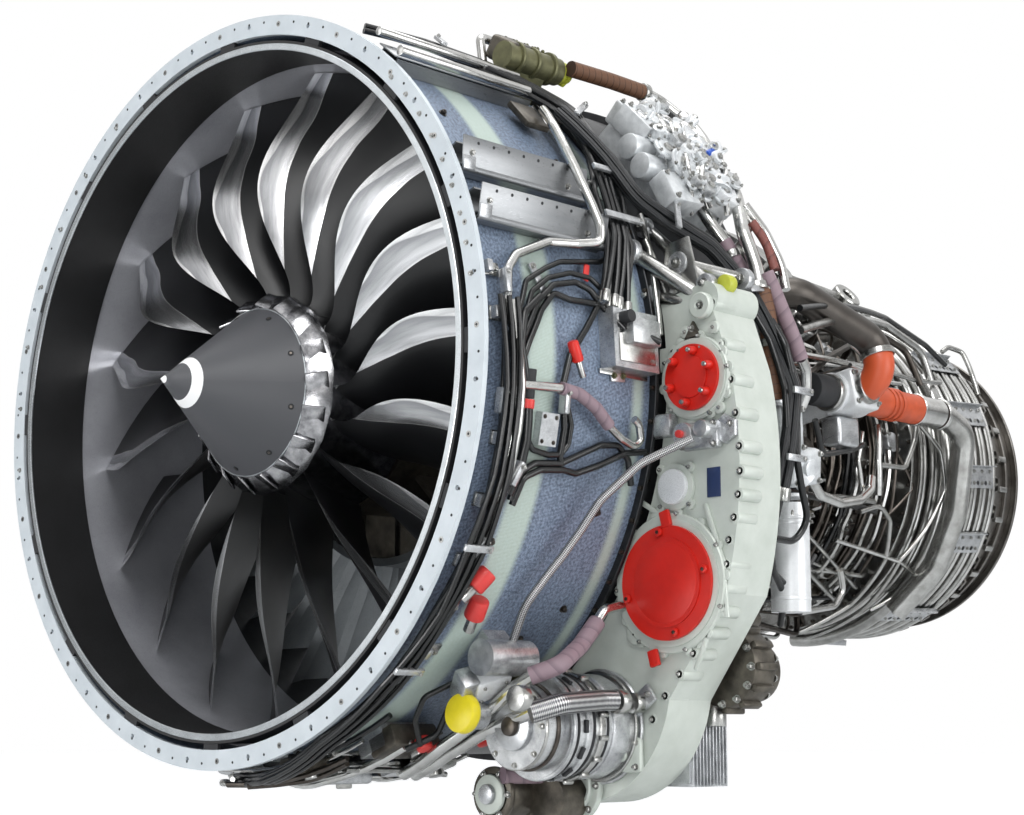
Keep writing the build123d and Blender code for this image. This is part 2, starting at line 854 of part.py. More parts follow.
# Fuel control: a cast block on the shoulder of the fan frame, with barrels on its face.
fuel_length, fuel_width, fuel_height = fuel_control_size
fuel_seat = on_skin(frame_r + seat_gap, frame_front + fuel_control_lag + fuel_length / 2, fuel_control_angle)
with BuildPart() as fuel_control:
    with BuildSketch(fuel_seat):
        Rectangle(fuel_length, fuel_width)
    extrude(amount=fuel_height)
    with BuildSketch(fuel_seat.offset(fuel_height)):
        with GridLocations(fuel_length / 2, fuel_width / 3, 2, 3):
            Circle(fuel_control_barrel_r)
    extrude(amount=fuel_control_barrel_length - fuel_height / 2)
finish(fuel_control, "fuel_control")


def skin_valve(lead, length, radius, height, angle):
    """Valve lying along the axis on a foot, its front end this far ahead of the fan frame."""
    front = frame_front - lead
    seat = on_skin(case_r + seat_gap, front + length / 2, angle)
    with BuildPart() as valve:
        with BuildSketch(across(front)):
            with Locations(polar(case_r + height, angle)):
                Circle(radius)
        extrude(amount=-length)
        with BuildSketch(seat):
            Rectangle(length / 2, valve_foot_width)
        extrude(amount=height - seat_gap)
    return valve


finish(
    skin_valve(
        control_valve_lead, control_valve_length, control_valve_r, control_valve_height, control_valve_angle
    ),
    "control_valve",
)
finish(
    skin_valve(air_valve_lead, air_valve_length, air_valve_r, air_valve_height, air_valve_angle),
    "air_valve",
)

# Support rails: three folded channels along the fan case.
with BuildPart() as support_rails:
    for rail_angle, rail_length in zip(rail_angles, rail_lengths):
        with BuildSketch(across(case_front + rail_setback)):
            with Locations(Location((*polar(case_r + seat_gap, rail_angle), 0), (0, 0, -rail_angle))):
                with Locations((0, rail_sheet / 2)):
                    Rectangle(rail_width, rail_sheet)
                with Locations(
                    ((rail_sheet - rail_width) / 2, rail_height / 2),
                    ((rail_width - rail_sheet) / 2, rail_height / 2),
                ):
                    Rectangle(rail_sheet, rail_height)
        extrude(amount=-rail_length)
finish(support_rails, "support_rails")

# Bleed valve on a neck from the diffuser, and the sleeve duct that runs back from it.
bleed_spot = polar(bleed_axis_r, bleed_angle)
bleed_valve_rear = bleed_valve_front + bleed_valve_length
with BuildPart() as bleed_valve:
    with BuildSketch(across(bleed_valve_front)):
        with Locations(bleed_spot):
            Circle(bleed_valve_r)
    extrude(amount=-bleed_valve_length)
    with BuildSketch(on_skin(diffuser_r + seat_gap, bleed_valve_front + bleed_valve_length / 2, bleed_angle)):
        Circle(bleed_neck_r)
    extrude(amount=bleed_axis_r - diffuser_r)
finish(bleed_valve, "bleed_valve")

with BuildPart() as bleed_duct:
    with BuildSketch(across(bleed_valve_rear)):
        with Locations(bleed_spot):
            Circle(bleed_duct_r)
    extrude(amount=-bleed_duct_length)
finish(bleed_duct, "bleed_duct")

# Feed duct: from the compressor up and over to the top of the bleed valve.
feed_front = bleed_valve_front - feed_duct_lead
feed_rear = bleed_valve_front + bleed_valve_length / 2
feed_places = (
    (compressor_case_r + seat_gap, feed_front, feed_duct_angle),
    (feed_duct_top_r, feed_front, feed_duct_angle),
    (feed_duct_top_r, feed_rear, (feed_duct_angle + bleed_angle) / 2),
    (feed_duct_top_r, feed_rear, bleed_angle),
    (bleed_axis_r + bleed_valve_r + seat_gap, feed_rear, bleed_angle),
)
finish(pipe(feed_duct_r, feed_duct_bend, feed_places), "feed_duct")

# Bleed elbow: the polished pipe from the sleeve duct down round the turbine.
elbow_start = (bleed_axis_r, bleed_valve_rear + bleed_duct_length, bleed_angle)
finish(pipe(elbow_r, elbow_bend, (elbow_start, *elbow_places)), "bleed_elbow")

# Cooling tubes: rings round the rear turbine case, held by straps that stand on it.
tubes_front = turbine_rear - cooling_strap_length
tube_ring_r = turbine_rear_r + cooling_tube_height
strap_middle = tubes_front + cooling_strap_length / 2
with BuildPart() as cooling_tubes:
    with BuildSketch(Plane.XY):
        for i in range(cooling_tube_count):
            with Locations((tube_ring_r, tubes_front + (i + 0.5) * cooling_tube_pitch)):
                Circle(cooling_tube_r)
    revolve(axis=Axis.Y)
    for strap_angle in cooling_strap_angles:
        with BuildSketch(on_skin(turbine_rear_r + seat_gap, strap_middle, strap_angle)):
            Rectangle(cooling_strap_length, cooling_strap_width)
        extrude(amount=cooling_strap_height)
finish(cooling_tubes, "cooling_tubes")

# Rear flange: the scalloped ring behind the turbine.
with BuildPart() as rear_flange:
    with BuildSketch(across(turbine_rear + core_skin)):
        Circle(rear_flange_r)
        Circle(exhaust_r + seat_gap, mode=Mode.SUBTRACT)
        with PolarLocations(rear_flange_r + scallop_r - scallop_depth, scallop_count):
            Circle(scallop_r, mode=Mode.SUBTRACT)
    extrude(amount=-rear_flange_thickness)
finish(rear_flange, "rear_flange")

# Yoke: an arched beam over the core on two legs, and the thrust links that reach back to it.
yoke_top, yoke_right, yoke_left = [polar(yoke_outer_r, a) for a in (0, yoke_half_angle, -yoke_half_angle)]
yoke_crown, yoke_inner_right, yoke_inner_left = [
    polar(yoke_inner_r, a) for a in (0, yoke_half_angle, -yoke_half_angle)
]
link_end_r = (yoke_inner_r + yoke_outer_r) / 2
link_station = splitter_rear + link_front_lag
with BuildPart() as mount_yoke:
    with BuildSketch(across(yoke_front)):
        with BuildLine():
            ThreePointArc(yoke_left, yoke_top, yoke_right)
            Line(yoke_right, yoke_inner_right)
            ThreePointArc(yoke_inner_right, yoke_crown, yoke_inner_left)
            Line(yoke_inner_left, yoke_left)
        make_face()
    extrude(amount=-yoke_length)
    for leg_angle in (-yoke_leg_angle, yoke_leg_angle):
        with BuildSketch(on_skin(diffuser_r + seat_gap, yoke_front + yoke_length * 0.75, leg_angle)):
            Rectangle(yoke_length / 2, yoke_leg_width)
        extrude(amount=yoke_inner_r - diffuser_r)
finish(mount_yoke, "mount_yoke")

with BuildPart() as thrust_links:
    for side in (-1, 1):
        add(
            pipe(
                link_r,
                link_r,
                (
                    (compressor_case_r + seat_gap, link_station, side * link_front_angle),
                    (compressor_case_r + link_bend, link_station, side * link_front_angle),
                    (link_end_r, yoke_front - link_bend, side * yoke_leg_angle),
                    (link_end_r, yoke_front - seat_gap, side * yoke_leg_angle),
                ),
            ).part
        )
finish(thrust_links, "thrust_links")

# Core pipes: each leaves the compressor radially, runs back and meets the diffuser.
with BuildPart() as core_pipes:
    for pipe_r, rise, front, rear, front_angle, rear_angle in core_pipes_rows:
        run_r = diffuser_r + rise
        corners = (
            (compressor_case_r + seat_gap, front, front_angle),
            (run_r, front, front_angle),
            (run_r, (front + rear) / 2, (front_angle + rear_angle) / 2),
            (run_r, rear, rear_angle),
            (diffuser_r + seat_gap, rear, rear_angle),
        )
        add(pipe(pipe_r, core_pipe_bend, corners).part)
finish(core_pipes, "core_pipes")

# Core boxes: valves and actuators as plain blocks with rounded corners.
with BuildPart() as core_boxes:
    for station, angle, length, width, height in core_box_rows:
        with BuildSketch(on_skin(compressor_case_r + seat_gap, station, angle)):
            RectangleRounded(length, width, core_box_round)
        extrude(amount=height)
finish(core_boxes, "core_boxes")

# Riser pipes behind the frame, and the pipes and boxes on the barrel.
with BuildPart() as riser_pipes:
    for pipe_r, bend, foot_legs, corners in riser_rows:
        add(pipe(pipe_r, bend, corners, frame_r, foot_legs).part)
finish(riser_pipes, "riser_pipes")

with BuildPart() as barrel_pipes:
    for pipe_r, bend, foot_legs, corners in barrel_rows:
        add(pipe(pipe_r, bend, corners, case_r, foot_legs).part)
finish(barrel_pipes, "barrel_pipes")

with BuildPart() as barrel_boxes:
    for station, angle, length, width, height in barrel_box_rows:
        with BuildSketch(on_skin(case_r + seat_gap, station, angle)):
            Rectangle(length, width)
        extrude(amount=height)
finish(barrel_boxes, "barrel_boxes")


def pylon_mount(skin_r, front, length, height):
    """Lug on top of a casing, bored across for the pylon's pin."""
    with BuildPart() as lug:
        with BuildSketch(on_skin(skin_r + seat_gap, front + length / 2, 0)):
            Rectangle(length, mount_width)
        extrude(amount=height)
        with BuildSketch(Plane.YZ.offset(-mount_width)):
            with Locations((front + length / 2, skin_r + height - mount_pin_inset)):
                Circle(mount_pin_r)
        extrude(amount=2 * mount_width, mode=Mode.SUBTRACT)
    return lug


finish(
    pylon_mount(compressor_case_r, splitter_rear + front_mount_lag, front_mount_length, front_mount_height),
    "front_mount",
)
finish(
    pylon_mount(turbine_rear_r, turbine_rear - rear_mount_length, rear_mount_length, rear_mount_height),
    "rear_mount",
)
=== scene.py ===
"""Looks of a geared turbofan engine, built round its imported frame.

Metres, unless a name says millimetres. Y is the engine's axis, from the inlet to the tail, Z is
up, and +X is the side with the accessory gearbox. A turn is counted in degrees about the axis,
from the top towards +X.
"""
import logging
from collections.abc import Iterable
from dataclasses import dataclass
from enum import Enum
from functools import partial
from math import ceil, cos, degrees, pi, radians, sin
from random import Random

import bmesh
import bpy
from bpy.types import Material, Mesh, Node, NodeSocket, NodeTree, Object
from mathutils import Matrix, Vector


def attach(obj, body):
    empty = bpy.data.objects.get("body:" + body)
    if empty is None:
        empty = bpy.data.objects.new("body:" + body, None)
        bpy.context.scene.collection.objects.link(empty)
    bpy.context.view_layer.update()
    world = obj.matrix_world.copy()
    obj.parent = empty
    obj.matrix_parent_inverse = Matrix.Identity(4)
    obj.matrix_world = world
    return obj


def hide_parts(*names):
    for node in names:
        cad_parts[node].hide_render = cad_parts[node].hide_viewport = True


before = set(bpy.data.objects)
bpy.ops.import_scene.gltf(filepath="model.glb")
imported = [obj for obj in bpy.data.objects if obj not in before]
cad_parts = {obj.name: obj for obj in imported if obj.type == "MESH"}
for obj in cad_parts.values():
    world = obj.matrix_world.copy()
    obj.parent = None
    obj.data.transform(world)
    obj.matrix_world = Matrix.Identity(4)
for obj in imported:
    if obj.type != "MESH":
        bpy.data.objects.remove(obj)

log = logging.getLogger("engine")
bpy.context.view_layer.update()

MM = 0.001
SHARP = radians(32)
FORWARD = Vector((0, -1, 0))
REARWARD = Vector((0, 1, 0))
Polar = tuple[float, float, float]
Place = Vector | tuple[float, float, float]
Edge = tuple[tuple[float, float], ...]
Shape = bmesh.types.BMesh


class Body(Enum):
    """The rigid bodies of the frame that the scene's own pieces ride on."""

    ENGINE = "engine"
    FAN = "fan"


def linear(colour: str) -> tuple[float, float, float, float]:
    """Turn an sRGB hex value into Blender's linear colour.

    Args:
        colour: a value such as "#c8d0d4".

    Returns:
        Red, green, blue and an alpha of one.
    """
    parts = [int(colour[i : i + 2], 16) / 255 for i in (1, 3, 5)]
    red, green, blue = [p / 12.92 if p <= 0.04045 else ((p + 0.055) / 1.055) ** 2.4 for p in parts]
    return red, green, blue, 1.0


def wire(tree: NodeTree, node: Node, values: dict) -> Node:
    """Set a node and link what feeds it.

    Args:
        tree: the node tree that it is in.
        node: the node.
        values: attributes by name, and inputs by name or number. A socket is linked, and a node
            by the first output that its settings leave open.

    Returns:
        The same node.
    """
    for key, value in values.items():
        if isinstance(value, Node):
            value = next(socket for socket in value.outputs if socket.enabled)
        if isinstance(value, NodeSocket):
            tree.links.new(value, node.inputs[key])
        elif isinstance(key, str) and hasattr(node, key):
            setattr(node, key, value)
        else:
            node.inputs[key].default_value = value
    return node


def add_node(tree: NodeTree, kind: str, values: dict | None = None) -> Node:
    """Add a shader node, named without "ShaderNode", with its settings and links."""
    return wire(tree, tree.nodes.new("ShaderNode" + kind), values or {})


def set_stops(ramp: Node, shades: Iterable[tuple[float, str]]) -> None:
    """Give a colour ramp its stops, of which the first is at its start."""
    (_, first), *others = shades
    stops = ramp.color_ramp.elements
    stops.remove(stops[1])
    stops[0].color = linear(first)
    for at, shade in others:
        stops.new(at).color = linear(shade)


def polar_sockets(tree: NodeTree) -> tuple:
    """Add nodes that give the radius, the turn from -0.5 to 0.5 and the station of a point."""
    add = partial(add_node, tree)
    parts = add("SeparateXYZ", {0: add("TexCoord").outputs["Object"]})
    flat = add("CombineXYZ", {0: parts.outputs[0], 1: parts.outputs[2]})
    radius = add("VectorMath", {"operation": "LENGTH", 0: flat})
    angle = add("Math", {"operation": "ARCTAN2", 0: parts.outputs[0], 1: parts.outputs[2]})
    turn = add("Math", {"operation": "MULTIPLY", 0: angle, 1: 0.5 / pi})
    return radius, turn, parts.outputs[1]


@dataclass(frozen=True)
class Finish:
    """What a surface is made of. Each kind of finish adds its own nodes."""

    name: str
    colour: str
    metallic: float = 0.0
    roughness: float = 0.5

    def material(self) -> Material:
        """Build the finish's material once and return it."""
        made = bpy.data.materials.get(self.name)
        if made is None:
            made = bpy.data.materials.new(self.name)
            made.use_nodes = True
            made.diffuse_color = linear(self.colour)
            shader = made.node_tree.nodes["Principled BSDF"]
            plain = {"Base Color": linear(self.colour), "Metallic": self.metallic, "Roughness": self.roughness}
            for values in (plain, self.fill(made.node_tree)):
                wire(made.node_tree, shader, values)
        return made

    def fill(self, tree: NodeTree) -> dict:
        """Add the finish's nodes and return what they feed or set on the shader."""
        return {}


@dataclass(frozen=True)
class Surface(Finish):
    """A surface of one stuff with patches of another shade, a grain and uneven gloss.

    The patches and the grain have real sizes in millimetres, and stretch draws them out along
    an axis, as brushing or turning does.
    """

    shade: str = "#808080"
    patch_mm: float = 60.0
    patch_amount: float = 0.5
    grain_mm: float = 1.5
    grain_depth_mm: float = 0.05
    gloss_spread: float = 0.12
    stretch: tuple[float, float, float] = (1.0, 1.0, 1.0)

    def fill(self, tree: NodeTree) -> dict:
        """Mix the two shades by soft noise, and drive bump and roughness by the grain."""
        add = partial(add_node, tree)
        place = add("TexCoord").outputs["Object"]
        drawn = add("Mapping", {"Scale": tuple(1 / s for s in self.stretch), "Vector": place})
        patches, grain = [
            add("TexNoise", {"Scale": 1 / (size * MM), "Detail": detail, "Roughness": rough, "Vector": drawn})
            for size, detail, rough in ((self.patch_mm, 4.0, 0.6), (self.grain_mm, 3.0, 0.55))
        ]
        amount = add("MapRange", {"From Min": 0.35, "From Max": 0.7, "To Max": self.patch_amount, "Value": patches})
        tint = add("Mix", {"data_type": "RGBA", 0: amount, 6: linear(self.colour), 7: linear(self.shade)})
        low, high = max(self.roughness - self.gloss_spread, 0.03), min(self.roughness + self.gloss_spread, 1.0)
        gloss = add("MapRange", {"From Min": 0.3, "From Max": 0.7, "To Min": low, "To Max": high, "Value": grain})
        bump = add("Bump", {"Strength": 1.0, "Distance": self.grain_depth_mm * MM, "Height": grain})
        return {"Base Color": tint, "Roughness": gloss, "Normal": bump}


@dataclass(frozen=True)
class BladeCoat(Finish):
    """Dark erosion coat with a bright titanium sheath wrapped round the leading edge.

    Both edges of the sheath are stations that change with the radius, so it follows the swept
    edge of every blade. A thin line of light runs along each of them.
    """

    # Grey of the painted reflection streaks that run along the sheath.
    painted_reflection_streak: str = "#85868a"
    scuffed: str = "#17181a"
    # Painted shade and highlight across the sheath, from its front edge at 0 to its rear edge at 1: painted highlights
    # at both edges, painted shade just behind the front one.
    shades: tuple[tuple[float, str], ...] = (
        (0.0, "#fafafa"), (0.08, "#f6f6f6"), (0.13, "#a2a3a6"), (0.5, "#c9cacc"), (0.88, "#f0f0f2"), (0.97, "#fafafa"),
    )
    front_edge: Edge = (
        (0.22, 0.172), (0.27, 0.162), (0.38, 0.146), (0.49, 0.134), (0.60, 0.1325),
        (0.70, 0.178), (0.80, 0.2325), (0.87, 0.2595), (0.93, 0.286),
    )
    rear_edge: Edge = (
        (0.22, 0.205), (0.27, 0.193), (0.38, 0.180), (0.49, 0.1765), (0.60, 0.187),
        (0.70, 0.2185), (0.80, 0.2625), (0.87, 0.283), (0.93, 0.302),
    )

    def behind(self, tree: NodeTree, radius: Node, station: NodeSocket, edge: Edge) -> Node:
        """Add nodes that give how far a point lies behind an edge.

        Args:
            tree: the material's node tree.
            radius: what gives the point's radius.
            station: what gives the point's station.
            edge: the edge's radii and stations, from the root out.

        Returns:
            The node of the distance in metres.
        """
        curve = add_node(tree, "FloatCurve", {"Value": radius})
        line = curve.mapping.curves[0]
        for point, spot in zip(line.points, (edge[0], edge[-1])):
            point.location = spot
        for across, along in edge[1:-1]:
            line.points.new(across, along)
        curve.mapping.update()
        return add_node(tree, "Math", {"operation": "SUBTRACT", 0: station, 1: curve})

    def fill(self, tree: NodeTree) -> dict:
        """Paint shade and highlight on the sheath from edge to edge, paint reflection streaks along the blade, and coat
        the rest.
        """
        add = partial(add_node, tree)
        radius, _, station = polar_sockets(tree)
        into = self.behind(tree, radius, station, self.front_edge)
        past = self.behind(tree, radius, station, self.rear_edge)
        metal = add("MapRange", {"From Min": 0.0005, "From Max": -0.0005, "Value": past})
        width = add("Math", {"operation": "SUBTRACT", 0: into, 1: past})
        # Ramp of painted shade and highlight from the sheath's front edge to its rear edge.
        ramp = add("ValToRGB", {0: add("Math", {"operation": "DIVIDE", 0: into, 1: width})})
        set_stops(ramp, self.shades)
        drawn = add("Mapping", {"Scale": (5.0, 80.0, 1.0), "Vector": add("CombineXYZ", {0: radius, 1: past})})
        streaks = add("TexNoise", {"Scale": 1.0, "Detail": 3.0, "Vector": drawn})
        # Painted reflection streaks along the blade, grey over the sheath's painted shade and highlight.
        painted_streak_amount = add("MapRange", {"From Min": 0.42, "From Max": 0.75, "To Max": 0.6, "Value": streaks})
        steel = add("Mix", {"data_type": "RGBA", 0: painted_streak_amount, 6: ramp, 7: linear(self.painted_reflection_streak)})
        place = add("TexCoord").outputs["Object"]
        scuff = add("TexNoise", {"Scale": 9.0, "Detail": 5.0, "Vector": place})
        brush = add("TexNoise", {"Scale": 600.0, "Detail": 2.0, "Vector": place})
        coat = add("Mix", {"data_type": "RGBA", 0: scuff, 6: linear(self.colour), 7: linear(self.scuffed)})
        tint = add("Mix", {"data_type": "RGBA", 0: metal, 6: coat, 7: steel})
        gloss = add("MapRange", {"To Min": self.roughness, "To Max": 0.25, "Value": metal})
        bump = add("Bump", {"Distance": 0.04 * MM, "Height": brush})
        return {"Base Color": tint, "Metallic": metal, "Roughness": gloss, "Normal": bump}


@dataclass(frozen=True)
class WovenBarrel(Finish):
    """Carbon and glass cloth under clear resin: a blue twill with two pale tracer bands.

    The real tows are about 2 mm wide. They are drawn 7 mm wide so that they show.
    """

    dark: str = "#283347"
    pale: str = "#8fa0b6"
    tracer: str = "#b9c8bb"
    tow_mm: float = 7.0
    barrel_r: float = 0.968
    bands: Edge = ((0.180, 0.275), (0.565, 0.60))
    band_edge: float = 0.02

    def fill(self, tree: NodeTree) -> dict:
        """Weave by two crossing waves round the barrel, then lay the tracer bands over it."""
        add = partial(add_node, tree)
        _, turn, station = polar_sockets(tree)
        round_m = add("Math", {"operation": "MULTIPLY", 0: turn, 1: 2 * pi * self.barrel_r})
        waves = []
        for sign in ("ADD", "SUBTRACT"):
            slant = add("Math", {"operation": sign, 0: round_m, 1: station})
            phase = add("Math", {"operation": "MULTIPLY", 0: slant, 1: 2 * pi / (self.tow_mm * MM)})
            waves.append(add("Math", {"operation": "SINE", 0: phase}))
        crossed = add("Math", {"operation": "MULTIPLY", 0: waves[0], 1: waves[1]})
        unrolled = add("CombineXYZ", {0: round_m, 1: station})
        hoops = add("Mapping", {"Scale": (1.2, 9.0, 1.0), "Vector": unrolled})
        laps = add("TexNoise", {"Scale": 1.0, "Detail": 3.0, "Roughness": 0.7, "Vector": hoops})
        fray = add("TexNoise", {"Scale": 330.0, "Detail": 2.0, "Vector": unrolled})
        speckle = add("TexNoise", {"Scale": 125.0, "Detail": 1.0, "Vector": unrolled})
        cloth = add("MapRange", {"From Min": -0.8, "From Max": 0.8, "To Max": 0.85, "Value": crossed})
        for noise, weight in ((fray, 0.8), (laps, 0.5), (speckle, 1.3)):
            cloth = add("Math", {"operation": "MULTIPLY_ADD", 0: noise, 1: weight, 2: cloth})
        shade = add("MapRange", {"From Min": 1.25, "From Max": 2.3, "Value": cloth})
        tint = add("Mix", {"data_type": "RGBA", 0: shade, 6: linear(self.dark), 7: linear(self.pale)})
        soft = add("Math", {"operation": "MULTIPLY_ADD", 0: fray, 1: self.band_edge, 2: station})
        for low, high in self.bands:
            rise = add("MapRange", {"From Min": low, "From Max": low + self.band_edge, "Value": soft})
            fall = add("MapRange", {"From Min": high + self.band_edge, "From Max": high, "Value": soft})
            band = add("Math", {"operation": "MULTIPLY", 0: rise, 1: fall})
            part = add("Math", {"operation": "MULTIPLY", 0: band, 1: 0.75})
            tint = add("Mix", {"data_type": "RGBA", 0: part, 6: tint, 7: linear(self.tracer)})
        bump = add("Bump", {"Distance": 0.6 * MM, "Strength": 0.6, "Height": crossed})
        return {"Coat Weight": 0.12, "Coat Roughness": 0.18, "Base Color": tint, "Normal": bump}


@dataclass(frozen=True)
class BandedPaint(Finish):
    """Paint whose colour changes in rings along the engine's axis, as on the spinner."""

    rings: tuple[tuple[float, str], ...] = ()
    low: float = -0.2
    high: float = 0.12

    def fill(self, tree: NodeTree) -> dict:
        """Pick the colour by the station on a ramp with hard steps."""
        add = partial(add_node, tree)
        station = polar_sockets(tree)[2]
        ramp = add("ValToRGB", {0: add("MapRange", {"From Min": self.low, "From Max": self.high, "Value": station})})
        ramp.color_ramp.interpolation = "CONSTANT"
        span = self.high - self.low
        set_stops(ramp, [(0.0, self.colour), *(((start - self.low) / span, tone) for start, tone in self.rings)])
        place = add("TexCoord").outputs["Object"]
        dust = add("TexNoise", {"Scale": 6.0, "Detail": 6.0, "Vector": place})
        gloss = add("MapRange", {"To Min": self.roughness - 0.08, "To Max": self.roughness + 0.12, "Value": dust})
        orange_peel = add("TexNoise", {"Scale": 450.0, "Vector": place})
        bump = add("Bump", {"Distance": 0.05 * MM, "Height": orange_peel})
        return {"Base Color": ramp, "Roughness": gloss, "Normal": bump}


@dataclass(frozen=True)
class SleevedDuct(Finish):
    """Stained steel duct whose end, past a turn round the engine, wears a moulded sleeve."""

    stained: str = "#393532"
    sleeve: str = "#bd4e28"
    sleeve_turn: float = 74.0

    def fill(self, tree: NodeTree) -> dict:
        """Change colour and metalness where the turn passes the sleeve's edge."""
        add = partial(add_node, tree)
        edge = self.sleeve_turn / 360
        sleeved = add("MapRange", {"From Min": edge, "From Max": edge + 0.0005, "Value": polar_sockets(tree)[1]})
        stain = add("TexNoise", {"Scale": 14.0, "Detail": 5.0, "Vector": add("TexCoord").outputs["Object"]})
        bare = add("Mix", {"data_type": "RGBA", 0: stain, 6: linear(self.colour), 7: linear(self.stained)})
        tint = add("Mix", {"data_type": "RGBA", 0: sleeved, 6: bare, 7: linear(self.sleeve)})
        metal = add("MapRange", {"To Min": self.metallic, "To Max": 0.0, "Value": sleeved})
        return {"Base Color": tint, "Metallic": metal}


@dataclass(frozen=True)
class WrappedHose(Finish):
    """Covering that runs along a pipe on the piece's own UV map: wound tape or wire braid."""

    shade: str = "#404040"
    pitch_mm: float = 25.0
    round_count: int = 0
    depth_mm: float = 0.8
    duty: float = 0.12

    def fill(self, tree: NodeTree) -> dict:
        """Draw turns of tape where round_count is 0, and otherwise a braid of crossing wires."""
        add = partial(add_node, tree)
        along, across, _ = add("SeparateXYZ", {0: add("UVMap", {"uv_map": "UVMap"})}).outputs
        turns = add("Math", {"operation": "MULTIPLY", 0: along, 1: 1 / (self.pitch_mm * MM)})
        if self.round_count:
            waves = []
            for wires in (float(self.round_count), -float(self.round_count)):
                wound = add("Math", {"operation": "MULTIPLY_ADD", 0: across, 1: wires, 2: turns})
                phase = add("Math", {"operation": "MULTIPLY", 0: wound, 1: 2 * pi})
                waves.append(add("Math", {"operation": "SINE", 0: phase}))
            height = add("Math", {"operation": "MULTIPLY", 0: waves[0], 1: waves[1]})
            mask = add("MapRange", {"From Min": -0.5, "From Max": 0.6, "Value": height})
        else:
            wound = add("Math", {"operation": "ADD", 0: turns, 1: across})
            height = add("Math", {"operation": "FRACT", 0: wound})
            mask = add("MapRange", {"From Max": self.duty, "Value": height})
        tint = add("Mix", {"data_type": "RGBA", 0: mask, 6: linear(self.shade), 7: linear(self.colour)})
        bump = add("Bump", {"Distance": self.depth_mm * MM, "Height": mask})
        return {"Base Color": tint, "Normal": bump}


def eased(shape: Shape, edges: list, width: float, segments: int = 2) -> Shape:
    """Bevel edges of a shape, unless the width is nothing, and return the shape."""
    if width:
        bmesh.ops.bevel(
            shape, geom=edges, offset=width, offset_type="OFFSET", segments=segments,
            profile=0.5, affect="EDGES", material=-1,
        )
    return shape


def rims(shape: Shape, height: float) -> list:
    """Return the level edges round the two ends of a shape."""
    return [e for e in shape.edges if abs(e.verts[0].co.z - e.verts[1].co.z) < height / 2]


def drum(radius: float, length: float, chamfer: float = 0.0, sides: int = 32, top: float | None = None) -> Shape:
    """Closed round bar from the base plane up along Z, with its rims eased.

    Args:
        radius: radius at the base.
        length: height along Z.
        chamfer: width of the eased rims.
        sides: flats round the bar.
        top: radius at the far end, or the same as the base.

    Returns:
        The shape, which its user frees.
    """
    shape = bmesh.new()
    far = radius if top is None else top
    middle = Matrix.Translation((0, 0, length / 2))
    bmesh.ops.create_cone(
        shape, cap_ends=True, segments=sides, radius1=radius, radius2=far, depth=length, matrix=middle
    )
    return eased(shape, rims(shape, length), chamfer)


def block(x: float, y: float, z: float, ease: float = 0.0, segments: int = 2) -> Shape:
    """Box centred on the base plane and standing up along Z, with eased edges."""
    shape = bmesh.new()
    bmesh.ops.create_cube(shape, size=1.0, matrix=Matrix.Translation((0, 0, z / 2)) @ Matrix.Diagonal((x, y, z, 1)))
    return eased(shape, shape.edges[:], ease, segments)


def turned(profile: list[tuple[float, float]], sides: int = 48) -> Shape:
    """Shape spun about Z from a profile of radius and height, which closes at both ends."""
    shape = bmesh.new()
    points = [shape.verts.new((r, 0, z)) for r, z in profile]
    line = [shape.edges.new(pair) for pair in zip(points, points[1:])]
    bmesh.ops.spin(
        shape, geom=points + line, cent=(0, 0, 0), axis=(0, 0, 1), angle=2 * pi, steps=sides, use_merge=True
    )
    bmesh.ops.remove_doubles(shape, verts=shape.verts, dist=1e-6)
    bmesh.ops.recalc_face_normals(shape, faces=shape.faces)
    return shape


def plate(outline: list[tuple[float, float]], thickness: float, ease: float = 0.0) -> Shape:
    """Flat sheet cut to an outline on the base plane, standing up along Z."""
    shape = bmesh.new()
    face = shape.faces.new([shape.verts.new((x, y, 0)) for x, y in outline])
    raised = bmesh.ops.extrude_face_region(shape, geom=[face])["geom"]
    top = [v for v in raised if isinstance(v, bmesh.types.BMVert)]
    bmesh.ops.translate(shape, verts=top, vec=(0, 0, thickness))
    bmesh.ops.recalc_face_normals(shape, faces=shape.faces)
    return eased(shape, rims(shape, thickness), ease)


def ring(inner: float, outer: float, length: float, sides: int = 96, ease: float = 0.0) -> Shape:
    """Ring of square section about Z, from the base plane up."""
    low, high = ease, length - ease
    profile = [(inner, low), (inner + ease, 0), (outer - ease, 0), (outer, low), (outer, high)]
    profile += [(outer - ease, length), (inner + ease, length), (inner, high), (inner, low)]
    if not ease:
        profile = [(inner, 0), (outer, 0), (outer, length), (inner, length), (inner, 0)]
    return turned(profile, sides)


def bolt(radius: float, height: float) -> Shape:
    """Washer, six-sided head and shank end of a bolt, standing on the base plane."""
    shape = drum(radius * 1.45, height * 0.22, sides=16)
    head = drum(radius, height * 0.75, chamfer=radius * 0.15, sides=6)
    bmesh.ops.translate(head, verts=head.verts, vec=(0, 0, height * 0.22))
    for extra in (head, drum(radius * 0.5, height * 1.25, sides=8)):
        carried = bpy.data.meshes.new("carried")
        extra.to_mesh(carried)
        shape.from_mesh(carried)
        bpy.data.meshes.remove(carried)
        extra.free()
    return shape


def around(place: Polar) -> Vector:
    """Point at a radius, a station and a turn."""
    radius, station, turn = place
    return Vector((radius * sin(radians(turn)), station, radius * cos(radians(turn))))


